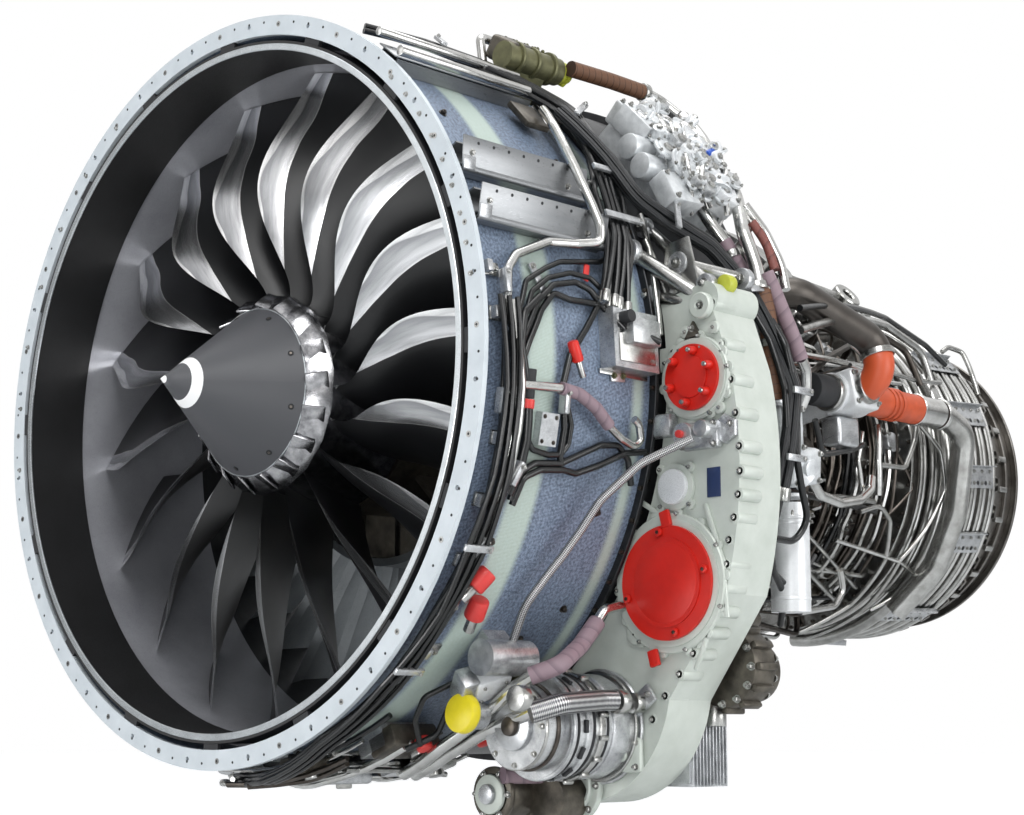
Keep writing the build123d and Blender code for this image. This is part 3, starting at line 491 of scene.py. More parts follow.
def routed(places: list[Polar], bend: float) -> list[Vector]:
    """Turn listed polar places into points with tangent arcs at the corners.

    The route is worked out on the unrolled cylinder, so a run round the engine stays at its
    radius, and each corner is rounded by an arc of the bend radius where the runs allow it.

    Args:
        places: radius, station and turn of each corner.
        bend: bend radius.

    Returns:
        The points of the pipe's centre line.
    """
    flat = [Vector((station, radians(turn), radius)) for radius, station, turn in places]
    line = [flat[0]]
    for before, here, after in zip(flat, flat[1:], flat[2:]):
        back, ahead = before - here, after - here
        corner = back.angle(ahead, pi)
        if corner > radians(175):
            line.append(here)
            continue
        cut = min(bend / max(sin(corner / 2) / cos(corner / 2), 1e-3), back.length * 0.48, ahead.length * 0.48)
        start, end = here + back.normalized() * cut, here + ahead.normalized() * cut
        for share in (0.0, 0.17, 0.33, 0.5, 0.67, 0.83, 1.0):
            line.append(start.lerp(here, share).lerp(here.lerp(end, share), share))
    line.append(flat[-1])
    points = []
    for here, after in zip(line, line[1:]):
        steps = max(1, ceil(abs(after.y - here.y) / radians(4)))
        points += [here.lerp(after, i / steps) for i in range(steps)]
    points.append(line[-1])
    return [around((p.z, p.x, degrees(p.y))) for p in points]


def tube(points: list[Vector], radius: float, sides: int = 12) -> Mesh:
    """Closed tube along a line of points, with a UV map of metres along and turns round.

    Args:
        points: the centre line.
        radius: the tube's radius.
        sides: flats round it.

    Returns:
        A mesh, which its user removes.
    """
    shape = bmesh.new()
    chart = shape.loops.layers.uv.new("UVMap")
    steps = [b - a for a, b in zip(points, points[1:])]
    steps.append(steps[-1])
    normal = steps[0].orthogonal().normalized()
    along, rows, lengths = 0.0, [], []
    for i, (point, step) in enumerate(zip(points, steps)):
        ahead = (step + (steps[i - 1] if i else step)).normalized()
        normal = (normal - ahead * normal.dot(ahead)).normalized()
        turn = Matrix((ahead.cross(normal), normal, ahead)).transposed().to_4x4()
        turn.translation = point
        rows.append(bmesh.ops.create_circle(shape, segments=sides, radius=radius, matrix=turn)["verts"])
        lengths.append(along)
        along += step.length
    for i, (low, high) in enumerate(zip(rows, rows[1:])):
        for j in range(sides):
            k = (j + 1) % sides
            face = shape.faces.new((low[j], low[k], high[k], high[j]))
            for loop, (u, v) in zip(face.loops, ((i, j), (i, j + 1), (i + 1, j + 1), (i + 1, j))):
                loop[chart].uv = (lengths[u], v / sides)
    shape.faces.new(rows[0])
    shape.faces.new(rows[-1])
    bmesh.ops.recalc_face_normals(shape, faces=shape.faces)
    mesh = bpy.data.meshes.new("tube")
    shape.to_mesh(mesh)
    shape.free()
    return mesh


def moved(x: float = 0.0, y: float = 0.0, z: float = 0.0) -> Matrix:
    """Shift along a placing's own axes."""
    return Matrix.Translation((x, y, z))


def spun(angle: float, axis: str = "Z") -> Matrix:
    """Turn about one of a placing's own axes, in degrees."""
    return Matrix.Rotation(radians(angle), 4, axis)


def seat(place: Polar, spin: float = 0.0) -> Matrix:
    """Placing on the skin: local X runs along the engine, Y round it and Z outwards."""
    out = around((1.0, 0.0, place[2]))
    turn = Matrix((REARWARD, out.cross(REARWARD), out)).transposed().to_4x4()
    return Matrix.Translation(around(place)) @ turn @ spun(spin)


def aimed(point: Place, direction: Place = FORWARD, spin: float = 0.0) -> Matrix:
    """Placing at a point with local Z along a direction."""
    turn = Vector(direction).normalized().to_track_quat("Z", "Y").to_matrix().to_4x4()
    return Matrix.Translation(point) @ turn @ spun(spin)


def evenly(count: int, first: float = 0.0) -> list[float]:
    """Angles that share a full turn evenly."""
    return [first + 360 / count * k for k in range(count)]


def hoop(radius: float, station: float, turns: Iterable[float], way: Vector = FORWARD) -> list[Matrix]:
    """Placings round the engine that look along it."""
    return [aimed(around((radius, station, turn)), way) for turn in turns]


def circle(place: Matrix, count: int, radius: float, height: float = 0.0, first: float = 0.0) -> list[Matrix]:
    """Placings spread evenly on a circle round a placing."""
    return [place @ spun(angle) @ moved(radius, 0, height) for angle in evenly(count, first)]


def corners(place: Matrix, x: float, y: float, z: float) -> list[Matrix]:
    """Placings at the corners of a rectangle round a placing, raised by z."""
    return [place @ moved(a, b, z) for a in (-x, x) for b in (-y, y)]


def pair(place: Matrix, x: float, z: float) -> list[Matrix]:
    """Placings at both ends of a plate, raised by z."""
    return [place @ moved(a, 0, z) for a in (-x, x)]


class Mould:
    """A piece under construction: shapes stamped into one mesh, each with its finish."""

    def __init__(self) -> None:
        """Start empty."""
        self.mesh = bmesh.new()
        self.finishes: list[Finish] = []

    def stamp(self, shape: Shape | Mesh, finish: Finish, *places: Matrix) -> None:
        """Copy a shape to each place, and free it.

        Args:
            shape: what is copied.
            finish: what it is made of.
            places: where the copies go. Without any, it stays where it was made.
        """
        if finish not in self.finishes:
            self.finishes.append(finish)
        number = self.finishes.index(finish)
        carried = shape
        if isinstance(shape, Shape):
            carried = bpy.data.meshes.new("carried")
            shape.to_mesh(carried)
            shape.free()
        for place in places or (Matrix.Identity(4),):
            verts, faces = len(self.mesh.verts), len(self.mesh.faces)
            self.mesh.from_mesh(carried)
            self.mesh.verts.ensure_lookup_table()
            self.mesh.faces.ensure_lookup_table()
            bmesh.ops.transform(self.mesh, matrix=place, verts=self.mesh.verts[verts:])
            for face in self.mesh.faces[faces:]:
                face.material_index = number
        bpy.data.meshes.remove(carried)

    def pipe(self, places: list[Polar], radius: float, finish: Finish, bend: float = 0.05, sides: int = 12) -> None:
        """Stamp a pipe that follows polar places with rounded corners."""
        self.stamp(tube(routed(places, bend), radius, sides), finish)

    def finish(self, name: str, slot: str, body: Body = Body.ENGINE, replaces: tuple[str, ...] = ()) -> Object:
        """Turn the mould into a piece that rides on a body.

        Args:
            name: the piece's name.
            slot: the record's material slot that it would take its finish from; not used.
            body: the body that it moves with.
            replaces: CAD nodes that it stands for.

        Returns:
            The piece's object.
        """
        for face in self.mesh.faces:
            face.smooth = True
        for edge in self.mesh.edges:
            edge.smooth = len(edge.link_faces) == 2 and edge.calc_face_angle(0.0) < SHARP
        mesh = bpy.data.meshes.new(name)
        self.mesh.to_mesh(mesh)
        self.mesh.free()
        for made in self.finishes:
            mesh.materials.append(made.material())
        piece = bpy.data.objects.new(name, mesh)
        bpy.context.scene.collection.objects.link(piece)
        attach(piece, body.value)
        if replaces:
            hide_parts(*replaces)
        log.info("piece %s: %d faces", name, len(mesh.polygons))
        return piece


# Painted, primed and coated metal gives an even, satin surface with faint rubbed patches.
FLANGE = Surface("machined aluminium, conversion coated", "#c3cacf", 0.1, 0.5, "#aeb6bc", 90, 0.6, 2.0, 0.02)
VANE = Surface("painted guide vane", "#868b8e", 0.5, 0.34, "#74797d", 60, 0.6)
CASTING = Surface("cast aluminium, pale green primer", "#bfc5be", 0.15, 0.42, "#afb6ae", 70, 0.7, 1.6, 0.09)
CAN = Surface("white enamelled canister", "#dcdee0", 0.2, 0.3, "#c3c6c8", 60, 0.6, 1.2, 0.03)
WHITE_CASTING = Surface("cast aluminium, clear coated", "#d9dcde", 0.4, 0.36, "#a5a9ac", 35, 0.7, 1.2, 0.1)
NAVY = Surface("navy plate", "#26365c", 0.1, 0.4, "#1e2c4c", 20, 0.5)
SPINNER = BandedPaint(
    "spinner paint, satin charcoal", "#f0f0f0", 0.0, 0.46,
    ((-0.176, "#46474b"), (-0.124, "#f2f2f2"), (-0.100, "#46474b")),
)
# Bare machined and cast alloy mirrors the lamps softly, unevenly where the tool or mould marked it.
LIP = Surface("machined aluminium lip", "#c9ced1", 0.9, 0.3, "#979da1", 60, 0.5, 1.0, 0.02)
HUB = Surface("polished titanium platform", "#b9b9bb", 1.0, 0.2, "#5c5c60", 30, 0.9, 3.0, 0.1, 0.05)
ALLOY = Surface("cast aluminium, bare", "#c6c8ca", 0.8, 0.3, "#929497", 35, 0.8, 1.2, 0.1)
TURNED_ALLOY = Surface("turned aluminium housing", "#cccecf", 0.75, 0.3, "#85878a", 40, 0.8, 1.0, 0.06)
RAIL = Surface("brushed aluminium channel", "#989a9c", 0.9, 0.36, "#75787b", 70, 0.7, 1.0, 0.05, 0.1, (1.0, 12.0, 1.0))
FRAME_RING = Surface("anodised aluminium ring", "#3b3c3e", 0.8, 0.42, "#242426", 50, 0.7, 1.5, 0.08)
DARK_CASTING = Surface("dark cast housing", "#645f56", 0.7, 0.4, "#2d2a27", 45, 0.8, 1.4, 0.15)
OLIVE = Surface("chromated olive alloy", "#6f6e50", 0.6, 0.4, "#4a4a36", 40, 0.8, 1.2, 0.1)
# Steel and nickel alloy shine clearly where they are new and turn brown and dull with heat.
STEEL = Surface("corrosion resistant steel", "#b9b9b7", 1.0, 0.26, "#84847f", 40, 0.7, 1.0, 0.05)
BRIGHT_STEEL = Surface("drawn steel pipe", "#d2d2d0", 1.0, 0.2, "#a3a29e", 50, 0.6, 0.8, 0.03)
DARK_STEEL = Surface("heat stained steel", "#5e5954", 1.0, 0.36, "#3b3632", 60, 0.8, 1.4, 0.12)
CORE_SKIN = Surface("nickel alloy casing, heat stained", "#3f3b38", 0.9, 0.42, "#232120", 110, 0.9, 2.0, 0.15)
TURBINE_SKIN = Surface("nickel alloy casing, brushed", "#85827e", 1.0, 0.34, "#55524e", 90, 0.9, 2.0, 0.12)
FEED_DUCT = SleevedDuct("stained steel duct, silicone sleeve at its end", "#65615d", 1.0, 0.42)
BLADE = BladeCoat("eroded blade coat with titanium sheath", "#08080a", 0.0, 0.36)
# Cloth, filler, rubber and plastic have no metal in them: even colour under a broad soft shine.
BARREL = WovenBarrel("carbon and glass cloth barrel", "#55637a", 0.0, 0.5)
LINER = Surface("acoustic liner skin, black", "#111112", 0.0, 0.5, "#1a1a1c", 120, 0.7, 2.2, 0.1)
# Real black rubber, and also thin black discs and blocks over holes, bores and slots: painted shade for their dark
# depth.
BLACK_RUBBER_AND_HOLE_SHADE = Surface("moulded black rubber", "#1d1e20", 0.0, 0.7, "#2b2d31", 30, 0.4, 1.0, 0.1)
RUB_TRACK = Surface("abradable grey filler", "#aaabb1", 0.3, 0.3, "#8e8f95", 160, 0.6, 1.5, 0.04, 0.05)
RED_COVER = Surface("red moulded transit cover", "#c61d10", 0.0, 0.4, "#aa170b", 60, 0.5, 1.2, 0.04)
LIME = Surface("yellow green cap", "#b0b53c", 0.0, 0.4, "#949a2a", 20, 0.4)
YELLOW = Surface("yellow moulded cap", "#dccb1c", 0.0, 0.4, "#c0ae14", 30, 0.4)
RED_CAP = Surface("red moulded cap", "#c93531", 0.0, 0.42, "#a82b27", 20, 0.4)
BLUE_CAP = Surface("blue moulded cap", "#1f4fb0", 0.0, 0.4, "#1b4494", 20, 0.4)
ORANGE = Surface("red oxide silicone sleeve", "#bd4e28", 0.0, 0.46, "#9c3d1d", 40, 0.7, 1.2, 0.08)
BLACK_JACKET = Surface("black harness jacket", "#0e0f10", 0.0, 0.27, "#191b1d", 25, 0.5, 0.8, 0.04, 0.06)
# Wound tape shows its turns, and braid its crossing wires, drawn coarse enough to be seen.
MAUVE_HOSE = WrappedHose("mauve fire sleeve", "#847179", 0.0, 0.6, "#6d5c65", 40, 0, 0.2, 0.3)
MAROON_HOSE = WrappedHose("maroon fire sleeve", "#74413a", 0.0, 0.55, "#552c27", 40, 0, 0.2, 0.3)
BROWN_WRAP = WrappedHose("brown insulating tape, wound", "#5f3f2a", 0.0, 0.6, "#38241a", 24, 0, 1.2, 0.15)
BRAID = WrappedHose("stainless wire braid", "#cfcfcf", 1.0, 0.3, "#45464a", 9, 6, 0.9)
CONDUIT = WrappedHose("dark braided conduit", "#2b2d30", 0.3, 0.34, "#0d0e0f", 6, 5, 0.5)


CAD_FINISHES: tuple[tuple[Finish, str], ...] = (
    (FLANGE, "inlet_flange"),
    (BARREL, "fan_case"),
    (LINER, "inlet_liner"),
    (BLACK_RUBBER_AND_HOLE_SHADE, "liner_pads"),
    (RUB_TRACK, "rub_strip"),
    (FRAME_RING, "fan_frame"),
    (VANE, "splitter exit_guide_vanes"),
    (BLADE, "fan_blades"),
    (HUB, "fan_hub"),
    (SPINNER, "spinner"),
    (STEEL, "fan_shaft low_compressor_rotor low_shaft high_compressor_rotor core_pipes mount_yoke"),
    (STEEL, "thrust_links bleed_elbow front_mount rear_mount"),
    (DARK_STEEL, "combustor low_turbine_rotor high_turbine_rotor"),
    (ALLOY, "reduction_gearbox oil_cooler barrel_boxes"),
    (DARK_CASTING, "core_inlet_case core_inlet_struts scavenge_pump hydraulic_pump core_boxes"),
    (CORE_SKIN, "compressor_case diffuser_case"),
    (TURBINE_SKIN, "high_turbine_case low_turbine_case exhaust_case tail_struts tail_hub rear_flange"),
    (CASTING, "accessory_gearbox"),
    (RED_COVER, "large_pad_cover small_pad_cover"),
    (TURNED_ALLOY, "generator air_valve"),
    (CAN, "oil_filter bleed_valve"),
    (WHITE_CASTING, "fuel_control"),
    (OLIVE, "control_valve"),
    (RAIL, "support_rails"),
    (FEED_DUCT, "feed_duct"),
    (ORANGE, "bleed_duct"),
)


def dress(node: str, finish: Finish) -> None:
    """Give a CAD node's object its finish."""
    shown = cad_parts[node]
    shown.data.materials.clear()
    shown.data.materials.append(finish.material())


@dataclass(frozen=True)
class Run:
    """One pipe, hose or cable: its covering and, in millimetres, its radius, route and bends."""

    radius_mm: float
    finish: Finish
    places: tuple[Polar, ...]
    bend_mm: float = 50.0

    def lay(self, mould: Mould, sides: int = 12) -> None:
        """Stamp the run into a mould."""
        places = [(radius * MM, station * MM, turn) for radius, station, turn in self.places]
        mould.pipe(places, self.radius_mm * MM, self.finish, self.bend_mm * MM, sides)


BARREL_RUNS: tuple[Run, ...] = (
    Run(12.5, BRIGHT_STEEL, (
        (1030, 460, 47.1), (1055, 397, 53.6), (1055, 389, 58.7), (1055, 391, 65.2), (1055, 407, 71.3),
        (1040, 412, 73.5), (1010, 348, 73.6), (995, 265, 73.8), (995, 136, 77.1), (995, 100, 79.5), (995, 88, 84.2),
        (995, 106, 91), (995, 121, 95.7), (995, 124, 101.8), (995, 120, 108.7), (995, 99, 117.4), (995, 85, 126.8),
        (995, 78, 137.9), (995, 72, 152.1), (995, 124, 170),
    )),
    Run(10.5, STEEL, ((990, 541, 40.8), (990, 503, 47.7), (990, 496, 52.1), (990, 481, 58.9))),
    Run(12.5, BRIGHT_STEEL, (
        (1000, 100, 84.2), (1000, 115, 91), (1000, 130, 95.6), (1000, 133, 101.7), (1000, 129, 108.9),
        (1000, 113, 117.2), (1000, 99, 126.2), (1000, 89, 137.2), (1000, 80, 150.4),
    )),
    Run(16, MAUVE_HOSE, ((1000, 266, 95.1), (1000, 334, 95.5), (1000, 395, 97), (1000, 448, 99.2))),
    Run(10, BRIGHT_STEEL, (
        (1000, 440, 99), (1000, 501, 100.8), (1000, 550, 101.6), (1000, 573, 100.6), (1000, 558, 98.3),
        (1000, 538, 97.7),
    ), 30),
    Run(12, BRIGHT_STEEL, ((1000, 113, 95.6), (1000, 270, 95.1))),
    Run(22.5, MAUVE_HOSE, ((1140, 319, 132.5), (1165, 365, 129.7), (1100, 483, 129.1), (1060, 550, 126.6))),
    Run(13, BRIGHT_STEEL, ((1060, 548, 126.7), (1050, 566, 124.9), (1040, 623, 124.5), (1030, 675, 124.8)), 30),
    Run(16.5, BRIGHT_STEEL, (
        (1145, 328, 131.9), (1110, 334, 135.7), (1090, 330, 142.9), (1080, 319, 150.9), (1070, 358, 160.9),
    ), 90),
    Run(18.5, BRIGHT_STEEL, (
        (1200, 329, 135.3), (1140, 349, 140.5), (1100, 367, 145.7), (1080, 372, 152), (1070, 398, 161),
    ), 90),
    Run(26.5, BRAID, ((1225, 284, 134.5), (1241, 344, 132.4), (1231, 491, 132.2), (1235, 536, 132))),
    Run(10.5, BRAID, (
        (1020, 372, 135.9), (1020, 342, 131.8), (1010, 329, 126.3), (1010, 354, 121.8), (1020, 442, 109.6),
        (1070, 502, 103.6), (1170, 569, 99.6),
    ), 120),
    Run(7, BLACK_JACKET, (
        (990, 90, 90), (990, 128, 86), (990, 165, 80.6), (990, 241, 78), (990, 300, 76.4), (990, 455, 74.8),
        (990, 548, 71.8),
    ), 30),
    Run(7, BLACK_JACKET, (
        (990, 96, 92), (990, 142, 87), (990, 182, 82), (990, 246, 79.4), (990, 331, 77.8), (990, 403, 77.9),
        (990, 468, 80.3),
    ), 30),
    Run(8, BLACK_JACKET, (
        (990, 104, 94), (990, 152, 88), (990, 200, 83.2), (990, 261, 80.3), (990, 344, 79.1), (990, 396, 79.8),
        (990, 443, 82.4), (1030, 465, 85.7),
    ), 30),
    Run(8.5, BLACK_JACKET, (
        (985, 112, 97), (985, 165, 89.5), (985, 214, 84.4), (985, 263, 81.4), (985, 322, 81.9), (985, 395, 81.7),
        (985, 440, 81.6), (1020, 479, 84.8), (1050, 573, 86.8),
    ), 30),
    Run(8.5, BLACK_JACKET, (
        (985, 425, 81.7), (985, 368, 86), (985, 310, 90.1), (985, 288, 94.5), (985, 307, 100.7), (985, 306, 104.3),
        (985, 317, 105.8),
    ), 30),
    Run(7.5, BLACK_JACKET, ((985, 307, 97.2), (985, 329, 99.9), (985, 328, 102.7), (985, 306, 104.3)), 20),
    Run(7.5, BLACK_JACKET, ((985, 189, 102.9), (985, 208, 104.1), (985, 265, 104.5), (985, 299, 104.3)), 20),
    Run(8.5, BLACK_JACKET, (
        (985, 172, 111.5), (985, 183, 107.4), (985, 226, 105.9), (985, 312, 105.5), (985, 441, 102.1),
        (985, 506, 101.7), (985, 552, 103.6), (985, 581, 107.2),
    ), 30),
    Run(8.5, BLACK_JACKET, (
        (990, 178, 112.1), (990, 192, 108.1), (990, 243, 106.7), (990, 321, 106.3), (990, 366, 106.6),
        (990, 448, 104.9), (990, 531, 102.7), (990, 605, 102.1),
    ), 30),
    Run(10.5, BLACK_JACKET, (
        (990, 209, 82.5), (990, 149, 85.3), (990, 135, 90.1), (990, 155, 94.5), (990, 162, 96.4),
    ), 30),
    Run(13, BLACK_JACKET, ((990, 168, 97.8), (990, 177, 102.9), (990, 173, 106.5), (990, 156, 110.6)), 30),
    Run(7.5, BLACK_JACKET, (
        (1060, 277, 152), (1020, 233, 149), (1000, 217, 144.9), (1000, 257, 142.5), (1000, 279, 141.4),
    ), 30),
    Run(8.5, BLACK_JACKET, ((1060, 248, 153.4), (1050, 312, 150.2), (1030, 292, 145.6), (1030, 284, 143.3)), 30),
    Run(5.5, BRIGHT_STEEL, ((1040, 276, 139.4), (1040, 274, 143)), 30),
    Run(12.5, BRIGHT_STEEL, (
        (1030, 475, 30), (1085, 478, 27.5), (1090, 500, 26.8), (1090, 570, 26.8), (1075, 640, 28.5),
    ), 30),
)

RISER_RUNS: tuple[Run, ...] = (
    Run(22.5, BROWN_WRAP, ((1100, 700, 35), (1105, 860, 35.3), (1105, 1000, 35.5))),
    Run(17.5, BRIGHT_STEEL, ((1105, 990, 35.5), (1100, 1045, 36.5), (1090, 1075, 40))),
    Run(19.5, BRIGHT_STEEL, (
        (1100, 1054, 42.1), (1100, 1029, 48.1), (1100, 992, 54.9), (1100, 1002, 60.7), (1100, 958, 67.8),
        (1100, 964, 73.5), (1100, 960, 77.2),
    ), 80),
    Run(25.5, BROWN_WRAP, ((1100, 962, 76.9), (1100, 967, 82.7), (1100, 971, 90.4), (1100, 976, 92.4)), 100),
    Run(20.5, MAUVE_HOSE, ((1120, 974, 74.6), (1120, 1010, 79.8), (1120, 1052, 84.4), (1120, 1068, 86.4)), 100),
    Run(15, BRIGHT_STEEL, ((1110, 1083, 85.9), (1080, 1144, 86.9), (1060, 1166, 90.3), (1040, 1166, 92.4)), 40),
    Run(18, BRIGHT_STEEL, ((1050, 882, 61.6), (1050, 906, 65.4), (1050, 934, 68.2)), 100),
    Run(20.5, MAUVE_HOSE, ((1050, 933, 67.9), (1050, 978, 73.5), (1050, 1007, 76.9), (1050, 1012, 80)), 100),
    Run(12.5, MAROON_HOSE, ((1120, 987, 66.4), (1120, 1017, 69.6), (1120, 1020, 73.8)), 100),
    Run(12.5, BRIGHT_STEEL, ((1120, 989, 63.5), (1120, 1032, 67.6), (1120, 1055, 72.7), (1120, 1048, 76.5)), 100),
    Run(10.5, BRIGHT_STEEL, ((1040, 979, 66.1), (1040, 927, 65.6), (1040, 996, 62), (1040, 1002, 59.9)), 30),
    Run(12, BRIGHT_STEEL, ((1000, 704, 67.7), (1000, 754, 71.9), (1000, 780, 77.9)), 100),
    Run(8.5, STEEL, ((1000, 672, 64.5), (1000, 641, 77.6), (1000, 636, 84.7)), 100),
    Run(8.5, STEEL, ((1000, 653, 69.2), (1000, 687, 78.8), (1000, 686, 83.5)), 100),
    Run(9.5, BLACK_JACKET, (
        (1080, 909, 78.4), (1120, 938, 84.6), (1150, 952, 91.4), (1150, 979, 100.4), (1150, 977, 105.6),
        (1150, 975, 111), (1150, 1027, 115), (1150, 1116, 118.3), (1150, 1152, 122.7),
    ), 60),
    Run(9.5, BLACK_JACKET, (
        (1100, 962, 79.8), (1150, 961, 85.4), (1150, 995, 91.2), (1150, 1021, 100.2), (1150, 1062, 104),
        (1150, 1114, 107.8), (1150, 1082, 110.9), (1150, 994, 110.7),
    ), 60),
    Run(7.5, BLACK_JACKET, ((1080, 1284, 113.3), (1100, 1228, 116.9), (1150, 1098, 116.7), (1150, 1022, 115)), 40),
)

CORE_RUNS: tuple[Run, ...] = (
    Run(16, BRIGHT_STEEL, (
        (700, 1706, 102.9), (680, 1787, 106.4), (660, 1926, 108), (640, 2055, 106.6), (620, 2127, 103.4),
        (600, 2152, 99.8),
    )),
    Run(13, BRIGHT_STEEL, ((600, 2188, 83), (600, 2183, 94), (600, 2204, 104.6))),
    Run(11, BRIGHT_STEEL, ((720, 1905, 138.1), (660, 2168, 139.7), (620, 2215, 136.4), (600, 2159, 130.4))),
    Run(8, BRIGHT_STEEL, ((600, 2098, 86.1), (600, 2073, 95), (600, 2112, 103.8))),
    Run(9, STEEL, ((600, 2195, 95.4), (600, 2338, 95.1), (600, 2402, 85.6), (600, 2421, 80.5)), 30),
    Run(8, STEEL, (
        (620, 2249, 158.6), (600, 2364, 144.4), (600, 2367, 125.2), (600, 2304, 111.9), (600, 2227, 107.6),
        (600, 2128, 110.6),
    ), 60),
    Run(8, STEEL, (
        (600, 2424, 168.6), (600, 2460, 147.5), (600, 2450, 124.7), (600, 2519, 113.6), (600, 2585, 100),
        (600, 2549, 87.4), (600, 2445, 80.3),
    ), 60),
    Run(7, BRIGHT_STEEL, (
        (620, 2020, 119.6), (600, 2200, 122.1), (600, 2456, 125.4), (600, 2584, 129.6), (600, 2589, 135.8),
        (600, 2501, 146.1),
    ), 40),
    Run(7.5, STEEL, ((700, 2000, 64.1), (660, 2193, 67.5), (640, 2428, 66.9), (620, 2629, 64.2))),
    Run(7.5, BRIGHT_STEEL, ((700, 1952, 70.8), (680, 2161, 72.5), (660, 2285, 70.9))),
    Run(7.5, BRIGHT_STEEL, ((700, 1939, 72.9), (680, 2121, 74.8), (660, 2242, 73.3))),
    Run(13, STEEL, ((900, 1408, 74.9), (820, 1845, 64.4), (740, 2212, 57.1), (680, 2485, 57.8), (640, 2529, 65.6)), 80),
    Run(9.5, BLACK_JACKET, (
        (920, 1409, 71), (840, 1810, 62.7), (740, 2246, 54.1), (660, 2599, 52.4), (620, 2742, 55.2),
    ), 80),
    Run(11, DARK_STEEL, ((700, 2227, 57.6), (680, 2380, 59.3), (640, 2448, 68.3)), 60),
    Run(9, STEEL, ((600, 2868, 44.4), (620, 2898, 43.5), (620, 2974, 44.7), (600, 2948, 54.7), (580, 2945, 62.1)), 30),
    Run(9.5, BLACK_JACKET, ((750, 1635, 89.1), (720, 1715, 96.6), (680, 1914, 93.7), (660, 2007, 91.5)), 40),
)


@dataclass
class InletRing:
    """Front flange with its inserts and bolts, the lip inside it and the rings at the barrel's rear."""

    hole_circle_r: float = 0.9785
    hole_count: int = 24
    first_hole: float = 13.2
    lip_inner_r: float = 0.9085
    lip_outer_r: float = 0.9265
    rear_ring_y: float = 0.626
    tail_ring_y: float = 1.060

    def build(self) -> None:
        """Build the two pieces."""
        front = Mould()
        holes = hoop(self.hole_circle_r, 0.0, evenly(self.hole_count, self.first_hole))
        front.stamp(ring(0.0035, 0.0075, 0.0012, 16), STEEL, *holes)
        # Thin black disc in each insert's bore: painted shade where the hole would be dark.
        front.stamp(drum(0.0034, 0.0006, sides=12), BLACK_RUBBER_AND_HOLE_SHADE, *holes)
        quarters = evenly(4 * self.hole_count, self.first_hole)
        between = [turn for k, turn in enumerate(quarters) if k % 4]
        # Thin black discs between the bolt holes: painted holes, their dark depth painted on.
        front.stamp(drum(0.0036, 0.0006, sides=10), BLACK_RUBBER_AND_HOLE_SHADE, *hoop(0.985, 0.0, between))
        heads = [44 + 4.6 * k for k in range(9)] + [262 + 11 * k for k in range(7)]
        front.stamp(bolt(0.0048, 0.007), STEEL, *hoop(0.9715, 0.0, heads))
        front.stamp(ring(self.lip_inner_r, self.lip_outer_r, 0.006, 180, 0.0015), LIP, aimed((0, 0.004, 0)))
        front.finish("inlet_ring_details", "flange_metal")

        rear = Mould()
        band = ring(0.967, 0.9895, 0.013, 180, 0.0015)
        rear.stamp(band, FRAME_RING, aimed((0, self.rear_ring_y, 0), REARWARD))
        rear.stamp(bolt(0.0055, 0.010), DARK_STEEL, *hoop(0.981, self.rear_ring_y, evenly(72, 2.5)))
        skin = [seat((0.9675, 0.665 + 0.05 * (k % 2), turn)) for k, turn in enumerate(evenly(144, 1.25))]
        rear.stamp(drum(0.0045, 0.003, sides=8), DARK_STEEL, *skin)
        band = ring(0.9665, 0.9885, 0.016, 180, 0.0015)
        rear.stamp(band, FRAME_RING, aimed((0, self.tail_ring_y, 0), REARWARD))
        spots = hoop(0.9785, self.tail_ring_y + 0.016, evenly(60, 3), REARWARD)
        rear.stamp(bolt(0.0055, 0.010), DARK_STEEL, *spots)
        rear.finish("barrel_ring_details", "frame_metal")


@dataclass
class FanDetails:
    """Polished faceted collar between the spinner and the blades, and the spinner's screws."""

    blade_count: int = 18
    row_phase: float = 12.4
    petal_tilt: float = 13.0
    cone_slope: float = 37.0
    screw_count: int = 9
    screw_phase: float = 28.0

    def build(self) -> None:
        """Build the two pieces, which turn with the fan."""
        collar = Mould()
        profile = [(0.216, 0.0), (0.232, 0.0), (0.262, 0.030), (0.275, 0.056), (0.216, 0.056), (0.216, 0.0)]
        collar.stamp(turned(profile, self.blade_count), HUB, aimed((0, 0.112, 0), REARWARD, self.row_phase))
        lean = spun(-self.cone_slope, "Y") @ spun(self.petal_tilt, "X")
        petals = [seat((0.243, 0.138, turn), 12) @ lean for turn in evenly(self.blade_count, self.row_phase)]
        collar.stamp(block(0.062, 0.080, 0.008, 0.003), HUB, *petals)
        collar.finish("blade_platforms", "hub_metal", Body.FAN)

        screws = Mould()
        slope = radians(self.cone_slope)
        for turn in evenly(self.screw_count, self.screw_phase):
            out = around((cos(slope), 0.0, turn)) + Vector((0, -sin(slope), 0))
            place = aimed(around((0.2085, 0.0862, turn)), out)
            screws.stamp(drum(0.0080, 0.0012, 0.0003, 16), BLACK_RUBBER_AND_HOLE_SHADE, place)
            screws.stamp(drum(0.0040, 0.0020, 0.0, 6), DARK_STEEL, place)
        screws.stamp(ring(0.2258, 0.2285, 0.004, 120, 0.001), LIP, aimed((0, 0.1085, 0), REARWARD))
        screws.finish("spinner_screws", "spinner_paint", Body.FAN)


